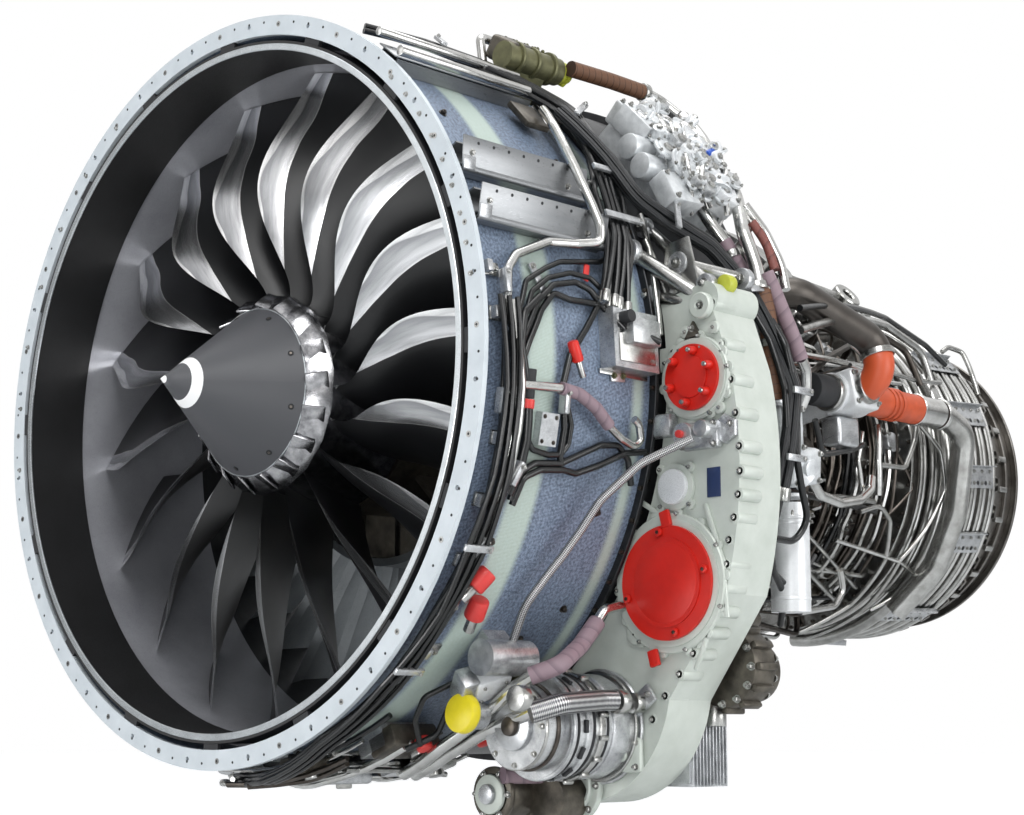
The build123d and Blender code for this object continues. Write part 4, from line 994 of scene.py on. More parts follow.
@dataclass
class RailPlates:
    """Bright pressed plates over the barrel's rails, with their hole rows and rolled edges."""

    plate_width: float = 0.080
    tilt: float = 30.0
    plate_r: float = 1.022
    rails: tuple[tuple[float, float, float], ...] = ((62.8, 0.018, 0.455), (70.6, 0.022, 0.470))

    def build(self) -> None:
        """Build the plates and the long channels at the top."""
        made = Mould()
        for turn, front, rear in self.rails:
            length, middle = rear - front, (front + rear) / 2
            base = seat((self.plate_r, middle, turn))
            side = 1 if (base.to_3x3() @ Vector((0, 1, 0))).z < 0 else -1
            leaning = base @ spun(-side * self.tilt, "X")
            made.stamp(block(length, self.plate_width, 0.003, 0.001), RAIL, leaning)
            low = leaning @ moved(y=side * self.plate_width / 2)
            skirt = Matrix.Translation(low.translation) @ base.to_3x3().to_4x4()
            made.stamp(block(length, 0.003, 0.030, 0.001), RAIL, skirt @ moved(z=-0.030))
            start = low @ moved(-length / 2, 0, -0.004) @ spun(90, "Y")
            made.stamp(ring(0.0075, 0.0105, length, 20), RAIL, start)
            # Black disc in the rolled edge's open end: painted shade in its bore.
            made.stamp(drum(0.0076, 0.001, sides=16), BLACK_RUBBER_AND_HOLE_SHADE, start @ moved(z=0.003))
            edge = -side * self.plate_width * 0.33
            holes = [leaning @ moved(-length / 2 + 0.05 + 0.052 * k, edge, 0.003) for k in range(8)]
            # Thin black discs for the hole rows: painted shade where the holes would be dark.
            made.stamp(drum(0.0042, 0.0006, sides=12), BLACK_RUBBER_AND_HOLE_SHADE, *holes)
            ends = ((-length / 2 + 0.03, 0.0), (length / 2 - 0.03, 0.012), (length / 2 - 0.07, -0.018))
            made.stamp(bolt(0.006, 0.008), STEEL, *[leaning @ moved(x, y, 0.003) for x, y in ends])
            made.stamp(block(0.040, 0.034, 0.006, 0.002), ALLOY, leaning @ moved(-length / 2 + 0.02, -edge, 0.002))
        top = seat((1.008, 0.270, 39.0))
        made.stamp(block(0.500, 0.078, 0.004, 0.0015), RAIL, top)
        for place, radius, long in (((1.036, 0.020, 35.5), 0.012, 0.50), ((1.030, 0.020, 41.4), 0.014, 0.46)):
            made.stamp(drum(radius, long, 0.002, 20), BRIGHT_STEEL, aimed(around(place), REARWARD))
        made.stamp(block(0.085, 0.100, 0.018, 0.004), DARK_CASTING, seat((0.990, 0.430, 47.0)))
        holes = [top @ moved(-0.22 + 0.055 * k, 0.026, 0.004) for k in range(9)]
        # Thin black discs along the channel: painted holes.
        made.stamp(drum(0.0042, 0.0006, sides=12), BLACK_RUBBER_AND_HOLE_SHADE, *holes)
        made.finish("rail_plates", "rail_metal")


@dataclass
class BarrelFittings:
    """Boxes, brackets, clips and caps on the woven barrel."""

    skin_r: float = 0.968
    clamps: Edge = (
        (0.063, 79.5), (0.076, 86.0), (0.106, 97.9), (0.105, 103.2), (0.147, 136.5), (0.10, 121.0), (0.095, 112.0),
    )
    studs: Edge = ((0.103, 50.8), (0.456, 55.6), (0.52, 128.0), (0.50, 112.0), (0.17, 118.0), (0.43, 134.0))
    clips: tuple[tuple[Polar, float], ...] = (
        ((1.010, 0.462, 62.1), 20), ((1.012, 0.078, 81.7), 90), ((1.005, 0.071, 98.1), 90), ((1.010, 0.10, 118.0), 60),
        ((1.010, 0.085, 128.0), 60), ((1.010, 0.075, 140.0), 60), ((1.012, 0.150, 107.5), 70), ((1.005, 0.285, 96.8), 90),
    )

    def cap(self, mould: Mould, place: Polar, spin: float, finish: Finish, wide: float = 0.026) -> None:
        """Stamp a connector with a moulded dust cap, lying along the skin."""
        lying = seat(place, spin) @ spun(90, "Y")
        mould.stamp(drum(wide, 0.055, 0.006, 24, wide * 0.92), finish, lying)
        mould.stamp(drum(wide * 0.54, 0.045, 0.002, 20), STEEL, lying @ moved(z=-0.04))

    def build(self) -> None:
        """Build the fittings as one piece."""
        made = Mould()
        plain = seat((self.skin_r, 0.520, 86.6))
        made.stamp(block(0.150, 0.140, 0.006, 0.002), STEEL, plain)
        made.stamp(block(0.132, 0.118, 0.004, 0.001), STEEL, plain @ moved(z=0.050))
        made.stamp(block(0.105, 0.066, 0.030, 0.005), TURNED_ALLOY, plain @ moved(0.01, 0.018, 0.05))
        made.stamp(drum(0.016, 0.034, 0.002, 24), BLACK_RUBBER_AND_HOLE_SHADE, plain @ moved(-0.05, 0.05, 0.05))
        made.stamp(block(0.180, 0.012, 0.004, 0.001), STEEL, plain @ moved(y=-0.08))
        foot = seat((self.skin_r, 0.500, 91.6), 4)
        made.stamp(block(0.052, 0.030, 0.006, 0.002), ALLOY, foot)
        made.stamp(bolt(0.006, 0.008), OLIVE, *pair(foot, 0.017, 0.006))
        box = seat((self.skin_r, 0.250, 101.0))
        made.stamp(bolt(0.004, 0.004), DARK_STEEL, *corners(box, 0.02, 0.03, 0.022))
        strap = seat((0.975, 0.226, 79.9), -63)
        made.stamp(block(0.100, 0.022, 0.006, 0.002), ALLOY, strap)
        made.stamp(bolt(0.0055, 0.007), STEEL, *pair(strap, 0.04, 0.006))
        made.stamp(block(0.050, 0.018, 0.005, 0.002), RED_CAP, seat((0.985, 0.395, 77.0), 70))
        for station, turn in self.clamps:
            base = seat((self.skin_r, station, turn))
            made.stamp(block(0.060, 0.036, 0.008, 0.003), STEEL, base)
            made.stamp(bolt(0.006, 0.009), STEEL, base @ moved(0.014, 0, 0.008))
            made.stamp(block(0.018, 0.030, 0.022, 0.003), ALLOY, base @ moved(-0.018, 0, 0.006))
        for station, turn in self.studs:
            made.stamp(bolt(0.0075, 0.010), DARK_STEEL, seat((self.skin_r, station, turn)))
        for place, spin in self.clips:
            made.stamp(block(0.018, 0.062, 0.026, 0.004), ALLOY, seat(place, spin - 90) @ moved(z=-0.02))
            made.stamp(bolt(0.005, 0.008), STEEL, seat(place, spin - 90) @ moved(0, 0.02, 0.006))
        self.cap(made, (1.010, 0.130, 124.1), 60, RED_CAP)
        self.cap(made, (1.005, 0.185, 129.0), 100, RED_CAP)
        self.cap(made, (0.995, 0.330, 91.0), 115, RED_COVER, 0.015)
        made.stamp(drum(0.015, 0.07, 0.002, 20), BLACK_RUBBER_AND_HOLE_SHADE, seat((0.992, 0.165, 97.2), 90) @ spun(90, "Y"))
        made.stamp(drum(0.0165, 0.022, 0.002, 20), RED_CAP, seat((0.992, 0.165, 98.6), 90) @ spun(90, "Y"))
        sensor = seat((1.010, 0.315, 138.2), 24)
        made.stamp(block(0.100, 0.080, 0.070, 0.010), CAN, sensor)
        made.stamp(block(0.046, 0.086, 0.060, 0.006), ALLOY, sensor @ moved(-0.062, 0.0, 0.004))
        made.stamp(block(0.030, 0.075, 0.075, 0.004), OLIVE, sensor @ moved(0.075, 0.012, -0.004))
        made.stamp(bolt(0.005, 0.007), STEEL, *corners(sensor, 0.03, 0.025, 0.068))
        made.stamp(drum(0.016, 0.040, 0.002, 6), STEEL, seat((1.040, 0.395, 136.6)) @ spun(-70, "X"))
        disc = aimed((0.680, 0.262, -0.860), (0.05, -1.0, 0.10))
        made.stamp(drum(0.050, 0.030, 0.006, 40, 0.048), YELLOW, disc)
        made.stamp(drum(0.034, 0.060, 0.004, 32), ALLOY, disc @ moved(z=-0.055))
        made.finish("barrel_fittings", "steel")


@dataclass
class BarrelPipes:
    """Pipes and harnesses that run over the barrel, with the risers behind it."""

    trunk: tuple[Polar, ...] = (
        (1.010, 0.150, 23.0), (1.020, 0.280, 28.5), (1.022, 0.420, 34.0), (1.022, 0.600, 44.0), (1.022, 0.560, 55.5),
        (1.022, 0.530, 64.4), (1.018, 0.512, 71.5), (1.000, 0.470, 80.5),
    )
    left_trunk: tuple[Polar, ...] = (
        (0.995, 0.085, 84.0), (1.000, 0.090, 96.0), (1.000, 0.098, 108.0), (1.000, 0.088, 118.0), (1.000, 0.072, 128.2),
        (1.000, 0.062, 141.3), (1.005, 0.045, 156.0), (1.020, 0.090, 172.0), (1.020, 0.160, 184.0),
    )
    conduit: tuple[Polar, ...] = (
        (1.050, 0.500, 48.0), (1.055, 0.560, 58.0), (1.060, 0.590, 64.5), (1.060, 0.690, 67.0), (1.070, 0.830, 70.5),
        (1.085, 0.935, 77.0), (1.120, 0.960, 84.0), (1.150, 0.990, 91.0), (1.150, 0.975, 104.0),
    )
    clamps: tuple[tuple[Polar, float, float], ...] = (
        ((1.045, 0.548, 60.0), 0, 0.13), ((1.045, 0.522, 68.6), 0, 0.14), ((1.045, 0.62, 45.0), 40, 0.13),
        ((1.085, 0.700, 67.5), 70, 0.09), ((1.110, 0.935, 77.2), 10, 0.09), ((1.178, 0.985, 91.5), 0, 0.08),
        ((1.178, 0.975, 100.0), 0, 0.08), ((1.020, 0.080, 118.0), 0, 0.09), ((1.020, 0.065, 138.0), 0, 0.09),
        ((1.045, 0.30, 30.5), 60, 0.13),
    )
    unions: tuple[tuple[Polar, Polar, float], ...] = (
        ((1.100, 0.945, 76.0), (1.100, 0.945, 80.0), 0.030), ((1.100, 0.965, 84.0), (1.100, 0.968, 88.0), 0.028),
        ((1.050, 0.945, 69.5), (1.050, 0.960, 73.0), 0.024), ((1.105, 0.985, 35.5), (1.105, 1.0, 35.5), 0.026),
    )

    def bundle(self, mould: Mould, trunk: tuple[Polar, ...], offsets: Edge, radius: float, finish: Finish) -> None:
        """Lay cables side by side along a trunk.

        Args:
            mould: where the cables go.
            trunk: the middle line's places.
            offsets: each cable's distance outwards and sideways from the trunk.
            radius: a cable's radius.
            finish: the cables' jacket.
        """
        for number, (out, side) in enumerate(offsets):
            places = []
            for step, (r, y, turn) in enumerate(trunk):
                ease = 0.35 + 0.65 * abs(sin(step * 1.9 + number))
                before, after = trunk[max(step - 1, 0)], trunk[min(step + 1, len(trunk) - 1)]
                ahead = Vector((after[1] - before[1], radians(after[2] - before[2]))).normalized()
                places.append((r + out, y - ahead.y * side * ease, turn + degrees(ahead.x * side * ease)))
            mould.pipe(places, radius, finish, 0.09, 10)
            end = around(places[-1])
            mould.stamp(drum(radius * 1.5, 0.035, 0.002, 12), STEEL, aimed(end, end - around(places[-2])))

    def build(self) -> None:
        """Build the pipes, the risers and the harnesses."""
        pipes = Mould()
        for run in BARREL_RUNS:
            run.lay(pipes)
        along = around((1.235, 0.60, 132.2)) - around((1.225, 0.20, 132.3))
        for place in ((1.225, 0.200, 132.3), (1.235, 0.545, 132.2)):
            pipes.stamp(drum(0.031, 0.030, 0.003, 32), STEEL, aimed(around(place), along))
        flange = aimed((0.905, 0.655, -0.832), FORWARD, 35)
        pipes.stamp(block(0.100, 0.050, 0.012, 0.004), ALLOY, flange)
        pipes.stamp(drum(0.026, 0.040, 0.002, 32), STEEL, flange)
        pipes.stamp(bolt(0.006, 0.010), STEEL, *pair(flange, 0.037, 0.012))
        pipes.finish("barrel_lines", "steel", replaces=("barrel_pipes",))

        risers = Mould()
        for run in RISER_RUNS:
            run.lay(risers, 16)
        for place, toward, wide in self.unions:
            heading = around(toward) - around(place)
            risers.stamp(drum(wide, 0.022, 0.003, 32), STEEL, aimed(around(place), heading))
        risers.finish("riser_hoses", "steel", replaces=("riser_pipes",))

        cables = Mould()
        spread = tuple((0.012 * (k % 2), -0.052 + 0.013 * k) for k in range(9))
        self.bundle(cables, self.trunk, spread, 0.0078, BLACK_JACKET)
        spread = tuple((0.010 * (k % 3), 0.010 * k - 0.04) for k in range(9))
        self.bundle(cables, self.left_trunk, spread, 0.0066, BLACK_JACKET)
        spread = ((0.0, -0.024), (0.008, 0.0), (0.0, 0.022), (-0.012, 0.010))
        self.bundle(cables, self.conduit, spread, 0.0105, CONDUIT)
        for place, spin, length in self.clamps:
            clamp = seat(place, spin)
            cables.stamp(block(length, 0.018, 0.010, 0.002), ALLOY, clamp)
            cables.stamp(bolt(0.0055, 0.008), STEEL, clamp @ moved(length / 2 - 0.012, 0, 0.008))
        cables.finish("harnesses", "steel")


@dataclass
class GearboxFittings:
    """Ears, bolts, ports, bosses and tabs on the accessory gearbox, with its covers' studs."""

    front_y: float = 0.668
    ear_line: Edge = (
        (1.152, 82.0), (1.172, 87.5), (1.196, 92.0), (1.215, 96.0), (1.236, 99.8), (1.249, 102.6), (1.256, 105.2),
        (1.258, 107.8), (1.260, 110.4), (1.274, 113.0), (1.286, 115.6), (1.292, 118.2), (1.288, 120.9), (1.280, 123.8),
        (1.272, 126.8), (1.268, 130.0), (1.275, 133.2), (1.282, 136.4), (1.288, 139.6), (1.290, 142.6), (1.286, 145.4),
    )

    def front(self, x: float, z: float, proud: float = 0.0, spin: float = 0.0) -> Matrix:
        """Placing on the gearbox's front face, looking forward."""
        return aimed((x, self.front_y - proud, z), FORWARD, spin)

    def build(self) -> None:
        """Build the fittings and the covers' details."""
        made = Mould()
        made.stamp(drum(0.0165, 0.078, 0.003, 18), CASTING, *[aimed(around((r, 0.745, t))) for r, t in self.ear_line])
        heads = [aimed(around((r, self.front_y + 0.002, t))) for r, t in self.ear_line]
        made.stamp(bolt(0.0065, 0.010), STEEL, *heads)
        made.stamp(drum(0.0105, 0.003, 0.001, 16), STEEL, *heads)
        # Bosses round the two pads, cast in one with the housing.
        for x, z, inner, outer, count in ((1.000, -0.536, 0.146, 0.176, 14), (1.090, -0.026, 0.086, 0.108, 10)):
            made.stamp(ring(inner, outer, 0.014, 64, 0.003), CASTING, self.front(x, z))
            turns = [radians(turn) for turn in evenly(count, 9)]
            spots = [self.front(x + (outer - 0.002) * sin(a), z + (outer - 0.002) * cos(a)) for a in turns]
            made.stamp(drum(0.014, 0.010, 0.002, 20), CASTING, *spots)
            made.stamp(bolt(0.006, 0.018), STEEL, *spots[::2])
        # Round pad, its cover and studs.
        pad = self.front(1.019, -0.296)
        made.stamp(drum(0.060, 0.012, 0.003, 40), CASTING, pad)
        made.stamp(drum(0.045, 0.016, 0.003, 40), CAN, pad @ moved(z=0.008))
        studs = circle(pad, 4, 0.066, first=45)
        made.stamp(drum(0.014, 0.010, 0.002, 20), CASTING, *studs)
        made.stamp(bolt(0.006, 0.016), STEEL, *studs)
        # Bare navy plate, riveted on.
        made.stamp(block(0.042, 0.074, 0.003, 0.001), NAVY, self.front(1.138, -0.293))
        # Machined fitting under the small cover, with the braided line's end.
        port = self.front(1.112, -0.176)
        made.stamp(block(0.120, 0.070, 0.030, 0.010), ALLOY, port)
        made.stamp(drum(0.030, 0.060, 0.004, 32), ALLOY, port @ moved(-0.02, 0.0, 0.01))
        made.stamp(drum(0.022, 0.045, 0.003, 32), TURNED_ALLOY, port @ moved(0.035, 0.01, 0.02))
        made.stamp(drum(0.010, 0.014, 0.002, 16), RED_CAP, port @ moved(-0.02, 0.0, 0.07))
        made.stamp(bolt(0.006, 0.010), STEEL, *corners(port, 0.05, 0.026, 0.03))
        ear = self.front(1.185, -0.165)
        made.stamp(drum(0.038, 0.016, 0.004, 6), ALLOY, ear)
        made.stamp(bolt(0.006, 0.012), STEEL, ear @ moved(0.02, 0.01, 0.016))
        # Side port that points forward, left of the small cover.
        stub = self.front(0.985, -0.140)
        made.stamp(block(0.090, 0.060, 0.040, 0.012), ALLOY, stub)
        made.stamp(drum(0.020, 0.075, 0.003, 28), DARK_STEEL, stub @ moved(-0.030) @ spun(-70, "Y"))
        # Upper lug with its through bore and bolts.
        lug = self.front(1.115, 0.155)
        made.stamp(ring(0.010, 0.034, 0.022, 40, 0.004), CASTING, lug)
        made.stamp(bolt(0.007, 0.014), STEEL, lug @ moved(z=0.012))
        for x, z in ((1.06, 0.095), (1.02, 0.050), (1.15, 0.095), (1.175, 0.03), (1.18, -0.06), (1.165, -0.11)):
            made.stamp(drum(0.016, 0.012, 0.003, 20), CASTING, self.front(x, z))
            made.stamp(bolt(0.006, 0.014), STEEL, self.front(x, z))
        # Dark three-cornered bracket above the small cover.
        bracket = plate([(-0.05, -0.035), (0.05, -0.035), (0.0, 0.05)], 0.014, 0.003)
        made.stamp(bracket, DARK_CASTING, self.front(1.085, 0.070))
        spots = [self.front(1.085 + x, 0.070 + z, 0.012) for x, z in ((-0.035, -0.024), (0.035, -0.024), (0, 0.030))]
        made.stamp(bolt(0.006, 0.014), STEEL, *spots)
        # Raised ribs and pads on the lower half.
        ribs = ((1.14, -0.42, 0.16, 20), (1.17, -0.56, 0.14, 5), (1.10, -0.70, 0.12, -25), (0.93, -0.34, 0.14, 60))
        for x, z, long, spin in ribs:
            made.stamp(block(0.014, long, 0.010, 0.004), CASTING, self.front(x, z, 0.0, spin))
        low = self.front(0.850, -0.960)
        made.stamp(block(0.110, 0.090, 0.022, 0.012), CASTING, low)
        made.stamp(ring(0.006, 0.018, 0.034, 28, 0.003), CASTING, low)
        made.stamp(bolt(0.006, 0.012), STEEL, *corners(low, 0.04, 0.03, 0.02))
        small = self.front(0.880, -0.660)
        made.stamp(drum(0.026, 0.010, 0.003, 28), CASTING, small, small @ moved(0.035, 0.010, 0))
        made.stamp(bolt(0.005, 0.012), DARK_STEEL, small, small @ moved(0.035, 0.010, 0))
        # Lower end cover with its bolts.
        end = self.front(0.672, -1.039)
        made.stamp(drum(0.094, 0.022, 0.006, 48), CASTING, end)
        made.stamp(ring(0.060, 0.074, 0.034, 48, 0.004), CASTING, end)
        made.stamp(bolt(0.0065, 0.010), STEEL, *circle(end, 8, 0.084, 0.02))
        made.finish("gearbox_fittings", "gearbox_casting")

        covers = Mould()
        large = aimed((1.000, 0.641, -0.536))
        covers.stamp(drum(0.102, 0.005, 0.002, 72), RED_COVER, large)
        screws = [large @ spun(a) @ moved(0.128) for a in (12, 98, 196, 284)]
        covers.stamp(drum(0.011, 0.010, 0.003, 24), RED_COVER, *screws)
        covers.stamp(drum(0.005, 0.0125, 0.001, 6), DARK_STEEL, *screws)
        for x, z in ((1.000, -0.376), (0.957, -0.722)):
            covers.stamp(block(0.030, 0.042, 0.012, 0.003), RED_COVER, aimed((x, 0.650, z), FORWARD, 15))
        rim = circle(aimed((1.090, 0.641, -0.026)), 6, 0.066, first=20)
        covers.stamp(drum(0.0125, 0.022, 0.003, 12, 0.009), RED_COVER, *rim)
        covers.stamp(drum(0.006, 0.028, 0.001, 12), STEEL, *rim)
        covers.finish("cover_details", "cover_red")


@dataclass
class GeneratorDetails:
    """Bands, cooling slots, lugs and bolts of the generator."""

    axis_x: float = 0.760
    axis_z: float = -0.890

    def build(self) -> None:
        """Build the details. Each band is given by its start, radii and length."""
        made = Mould()
        whole = aimed((self.axis_x, 0.418, self.axis_z), REARWARD)
        for start, inner, outer, long, finish in (
            (-0.068, 0.080, 0.108, 0.010, STEEL),
            (-0.030, 0.100, 0.110, 0.012, DARK_STEEL),
            (0.004, 0.120, 0.134, 0.012, TURNED_ALLOY),
            (0.022, 0.120, 0.131, 0.006, BLACK_RUBBER_AND_HOLE_SHADE),
            (0.052, 0.120, 0.134, 0.016, TURNED_ALLOY),
            (0.078, 0.120, 0.129, 0.010, BLACK_RUBBER_AND_HOLE_SHADE),
            (0.096, 0.120, 0.136, 0.020, STEEL),
            (0.128, 0.120, 0.129, 0.008, BLACK_RUBBER_AND_HOLE_SHADE),
            (0.150, 0.120, 0.132, 0.060, ALLOY),
            (0.222, 0.120, 0.140, 0.010, STEEL),
            (0.236, 0.120, 0.146, 0.012, TURNED_ALLOY),
        ):
            made.stamp(ring(inner, outer, long, 72, min(0.003, long / 4)), finish, whole @ moved(z=start))
        # Black blocks round the body: painted shade standing in for the cooling slots.
        made.stamp(block(0.010, 0.032, 0.014, 0.002), BLACK_RUBBER_AND_HOLE_SHADE, *circle(whole, 12, 0.128, 0.044))
        made.stamp(drum(0.007, 0.028, 0.001, 10), STEEL, *circle(whole, 15, 0.137, 0.092))
        nose = [place @ spun(180, "X") for place in circle(whole, 8, 0.094, -0.068)]
        made.stamp(bolt(0.006, 0.010), STEEL, *nose)
        tip = aimed((self.axis_x, 0.352, self.axis_z))
        made.stamp(drum(0.060, 0.016, 0.004, 48), ALLOY, tip)
        made.stamp(drum(0.024, 0.030, 0.004, 32), DARK_STEEL, tip)
        made.finish("generator_details", "generator_metal")


@dataclass
class Underside:
    """Valves, pipes and cables under the barrel and beside the lower gearbox."""

    seed: int = 11
    hoop_count: int = 15
    long_count: int = 12
    boxes: tuple[tuple[Polar, Polar, Finish], ...] = (
        ((0.985, 0.30, 156.0), (0.16, 0.10, 0.060), DARK_CASTING),
        ((0.985, 0.48, 163.0), (0.12, 0.12, 0.070), STEEL),
        ((0.985, 0.14, 168.0), (0.10, 0.08, 0.050), DARK_CASTING),
        ((0.985, 0.38, 178.0), (0.18, 0.14, 0.060), ALLOY),
        ((0.985, 0.55, 190.0), (0.12, 0.10, 0.060), DARK_CASTING),
        ((0.985, 0.20, 186.0), (0.12, 0.10, 0.040), ALLOY),
    )
    pump_drums: tuple[tuple[Polar, float, float], ...] = (
        ((0.918, 0.900, -0.664), 0.094, 0.060), ((0.918, 0.985, -0.664), 0.070, 0.040),
        ((1.000, 0.862, -0.740), 0.105, 0.090), ((1.010, 0.945, -0.750), 0.078, 0.050),
    )

    def scatter(self, made: Mould) -> None:
        """Stamp the small pipes and cables, from a seeded scatter."""
        pick = Random(self.seed)
        tones = (BRIGHT_STEEL, STEEL, BLACK_JACKET, BLACK_JACKET)
        for _ in range(self.hoop_count):
            start, end = pick.uniform(150, 160), pick.uniform(176, 205)
            station, out = pick.uniform(0.06, 0.58), pick.uniform(0.988, 1.045)
            finish = pick.choice((*tones, DARK_STEEL))
            places = [(out, station, start), (out, station + pick.uniform(-0.05, 0.05), (start + end) / 2)]
            places += [(out, station + pick.uniform(-0.10, 0.10), end)]
            made.pipe(places, pick.choice((0.006, 0.008, 0.011, 0.014)), finish, 0.06, 10)
        for _ in range(self.long_count):
            turn, out, start = pick.uniform(150, 186), pick.uniform(0.99, 1.05), pick.uniform(0.04, 0.2)
            finish = pick.choice(tones)
            places = [(out, start, turn), (out, start + 0.2, turn + pick.uniform(-5, 5))]
            places += [(out, 0.62, turn + pick.uniform(-5, 5))]
            made.pipe(places, pick.choice((0.006, 0.008, 0.012)), finish, 0.06, 10)

    def build(self) -> None:
        """Build the underside's pipes, boxes and fins."""
        made = Mould()
        self.scatter(made)
        for place, size, finish in self.boxes:
            made.stamp(block(*size, 0.010), finish, seat(place))
            made.stamp(drum(0.022, size[2] + 0.012, 0.004, 24), STEEL, seat(place) @ moved(size[0] / 4))
        for place in ((1.050, 0.455, 149.5), (1.035, 0.300, 152.5)):
            made.stamp(drum(0.021, 0.035, 0.006, 24), RED_CAP, seat(place))
        low = aimed((0.560, 0.470, -1.060), REARWARD)
        made.stamp(drum(0.062, 0.190, 0.010, 40), DARK_CASTING, low)
        made.stamp(drum(0.070, 0.016, 0.004, 40), DARK_CASTING, low, low @ moved(z=0.10))
        made.stamp(drum(0.050, 0.014, 0.004, 40), CASTING, low @ spun(180, "X"))
        made.stamp(drum(0.026, 0.026, 0.004, 32), ALLOY, low @ spun(180, "X"))
        made.stamp(bolt(0.006, 0.010), STEEL, *[place @ spun(180, "X") for place in circle(low, 6, 0.058)])
        made.pipe([(1.18, 0.46, 149.0), (1.20, 0.56, 147.5), (1.19, 0.64, 146.5)], 0.022, MAUVE_HOSE, 0.05, 14)
        # Pump behind the gearbox, cast dark, and the finned cooler under it.
        for place, wide, long in self.pump_drums:
            made.stamp(drum(wide, long, 0.008, 40), DARK_CASTING, aimed(place, REARWARD))
        body = aimed((1.000, 0.862, -0.740), REARWARD)
        for turn in evenly(12):
            side = body @ spun(turn)
            made.stamp(block(0.030, 0.020, 0.076, 0.005), DARK_CASTING, side @ moved(0.104, 0, 0.004))
            made.stamp(bolt(0.0075, 0.014), STEEL, side @ moved(0.092, 0.028, 0.090))
            made.stamp(bolt(0.0075, 0.014), STEEL, side @ moved(0.094) @ spun(180, "X"))
        made.stamp(drum(0.030, 0.060, 0.004, 28), STEEL, body @ moved(0.06, -0.09, 0.04) @ spun(90, "X"))
        lobes = circle(aimed((0.918, 0.95, -0.664), REARWARD), 5, 0.088)
        made.stamp(drum(0.020, 0.070, 0.005, 20), DARK_CASTING, *lobes)
        made.stamp(bolt(0.008, 0.012), DARK_STEEL, *[lobe @ moved(z=0.070) for lobe in lobes])
        fins = [moved(0.860, 0.842 + 0.0135 * k, -1.043) for k in range(11)]
        made.stamp(block(0.116, 0.004, 0.206, 0.001), ALLOY, *fins)
        made.finish("underside_equipment", "dark_casting")


